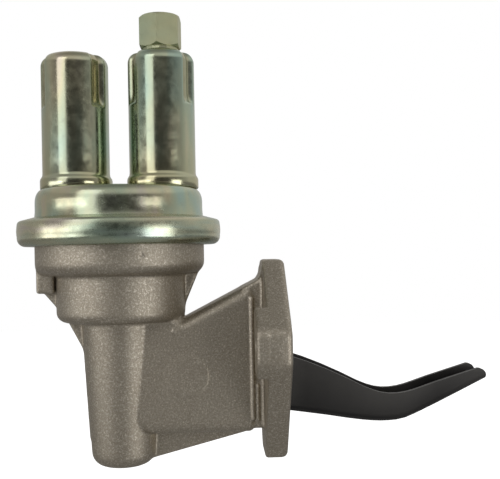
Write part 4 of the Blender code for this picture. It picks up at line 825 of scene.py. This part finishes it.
left_fall = spread(tree, aside, -1.0, 0.4, 0.62, 1.0)
shaded = product(tree, product(tree, above.outputs[0], low_right), overhead)
tree.links.new(product(tree, shaded, left_fall), room_light.inputs["Strength"])
room_light.inputs["Color"].default_value = (1.0, 0.985, 0.96, 1)
white = tree.nodes.new("ShaderNodeBackground")
white.inputs["Color"].default_value = (1, 1, 1, 1)
seen = tree.nodes.new("ShaderNodeLightPath")
choose = tree.nodes.new("ShaderNodeMixShader")
tree.links.new(seen.outputs["Is Camera Ray"], choose.inputs["Fac"])
tree.links.new(room_light.outputs[0], choose.inputs[1])
tree.links.new(white.outputs[0], choose.inputs[2])
tree.links.new(choose.outputs[0], tree.nodes["World Output"].inputs["Surface"])


def softbox(name, place, aim, wide, tall, brightness):
    """A soft lamp aimed at a point; brightness is what a mirror would show of it."""
    lamp = bpy.data.lights.new(name, "AREA")
    lamp.shape, lamp.size, lamp.size_y = "RECTANGLE", wide, tall
    lamp.energy = brightness * math.pi * wide * tall
    item = bpy.data.objects.new(name, lamp)
    item.location = place
    item.rotation_euler = (Vector(aim) - Vector(place)).to_track_quat("-Z", "Y").to_euler()
    bpy.context.scene.collection.objects.link(item)


middle = (-0.05, 0.0, 0.02)


def on_bearing(degrees, height, reach=1.1):
    """A place round the pump: bearing from its front towards the arm, and height."""
    turn = math.radians(degrees)
    return (middle[0] + reach * math.sin(turn), -reach * math.cos(turn), height)


softbox("left_box", on_bearing(-61, -0.01), middle, 1.00, 0.32, 2.2)
softbox("left_strip", on_bearing(-38, 0.45), middle, 0.58, 0.94, 1.35)
softbox("right_box", on_bearing(48, -0.125), middle, 0.60, 0.49, 3.1)

# Camera, level with the cup, swung a little towards the towers' side and tipped by a degree.
swing, tip = math.radians(2.6), math.radians(1.05)
ahead = Vector((math.sin(swing), math.cos(swing), 0.0))
level_right = Vector((math.cos(swing), -math.sin(swing), 0.0))
upright = Vector((0, 0, 1))
right = level_right * math.cos(tip) - upright * math.sin(tip)
up = level_right * math.sin(tip) + upright * math.cos(tip)
lens = bpy.data.cameras.new("camera")
lens.sensor_width, lens.lens = 36.0, 55.57
lens.shift_x, lens.shift_y = -0.00084, 0.02555
lens.clip_start, lens.clip_end = 0.01, 50.0
camera = bpy.data.objects.new("camera", lens)
bpy.context.scene.collection.objects.link(camera)
turn = Matrix((right, up, -ahead)).transposed().to_4x4()
camera.matrix_world = Matrix.Translation(Vector((-0.02977, -0.34225, 0.0182))) @ turn
bpy.context.scene.camera = camera
bpy.context.scene.view_settings.view_transform = "Standard"
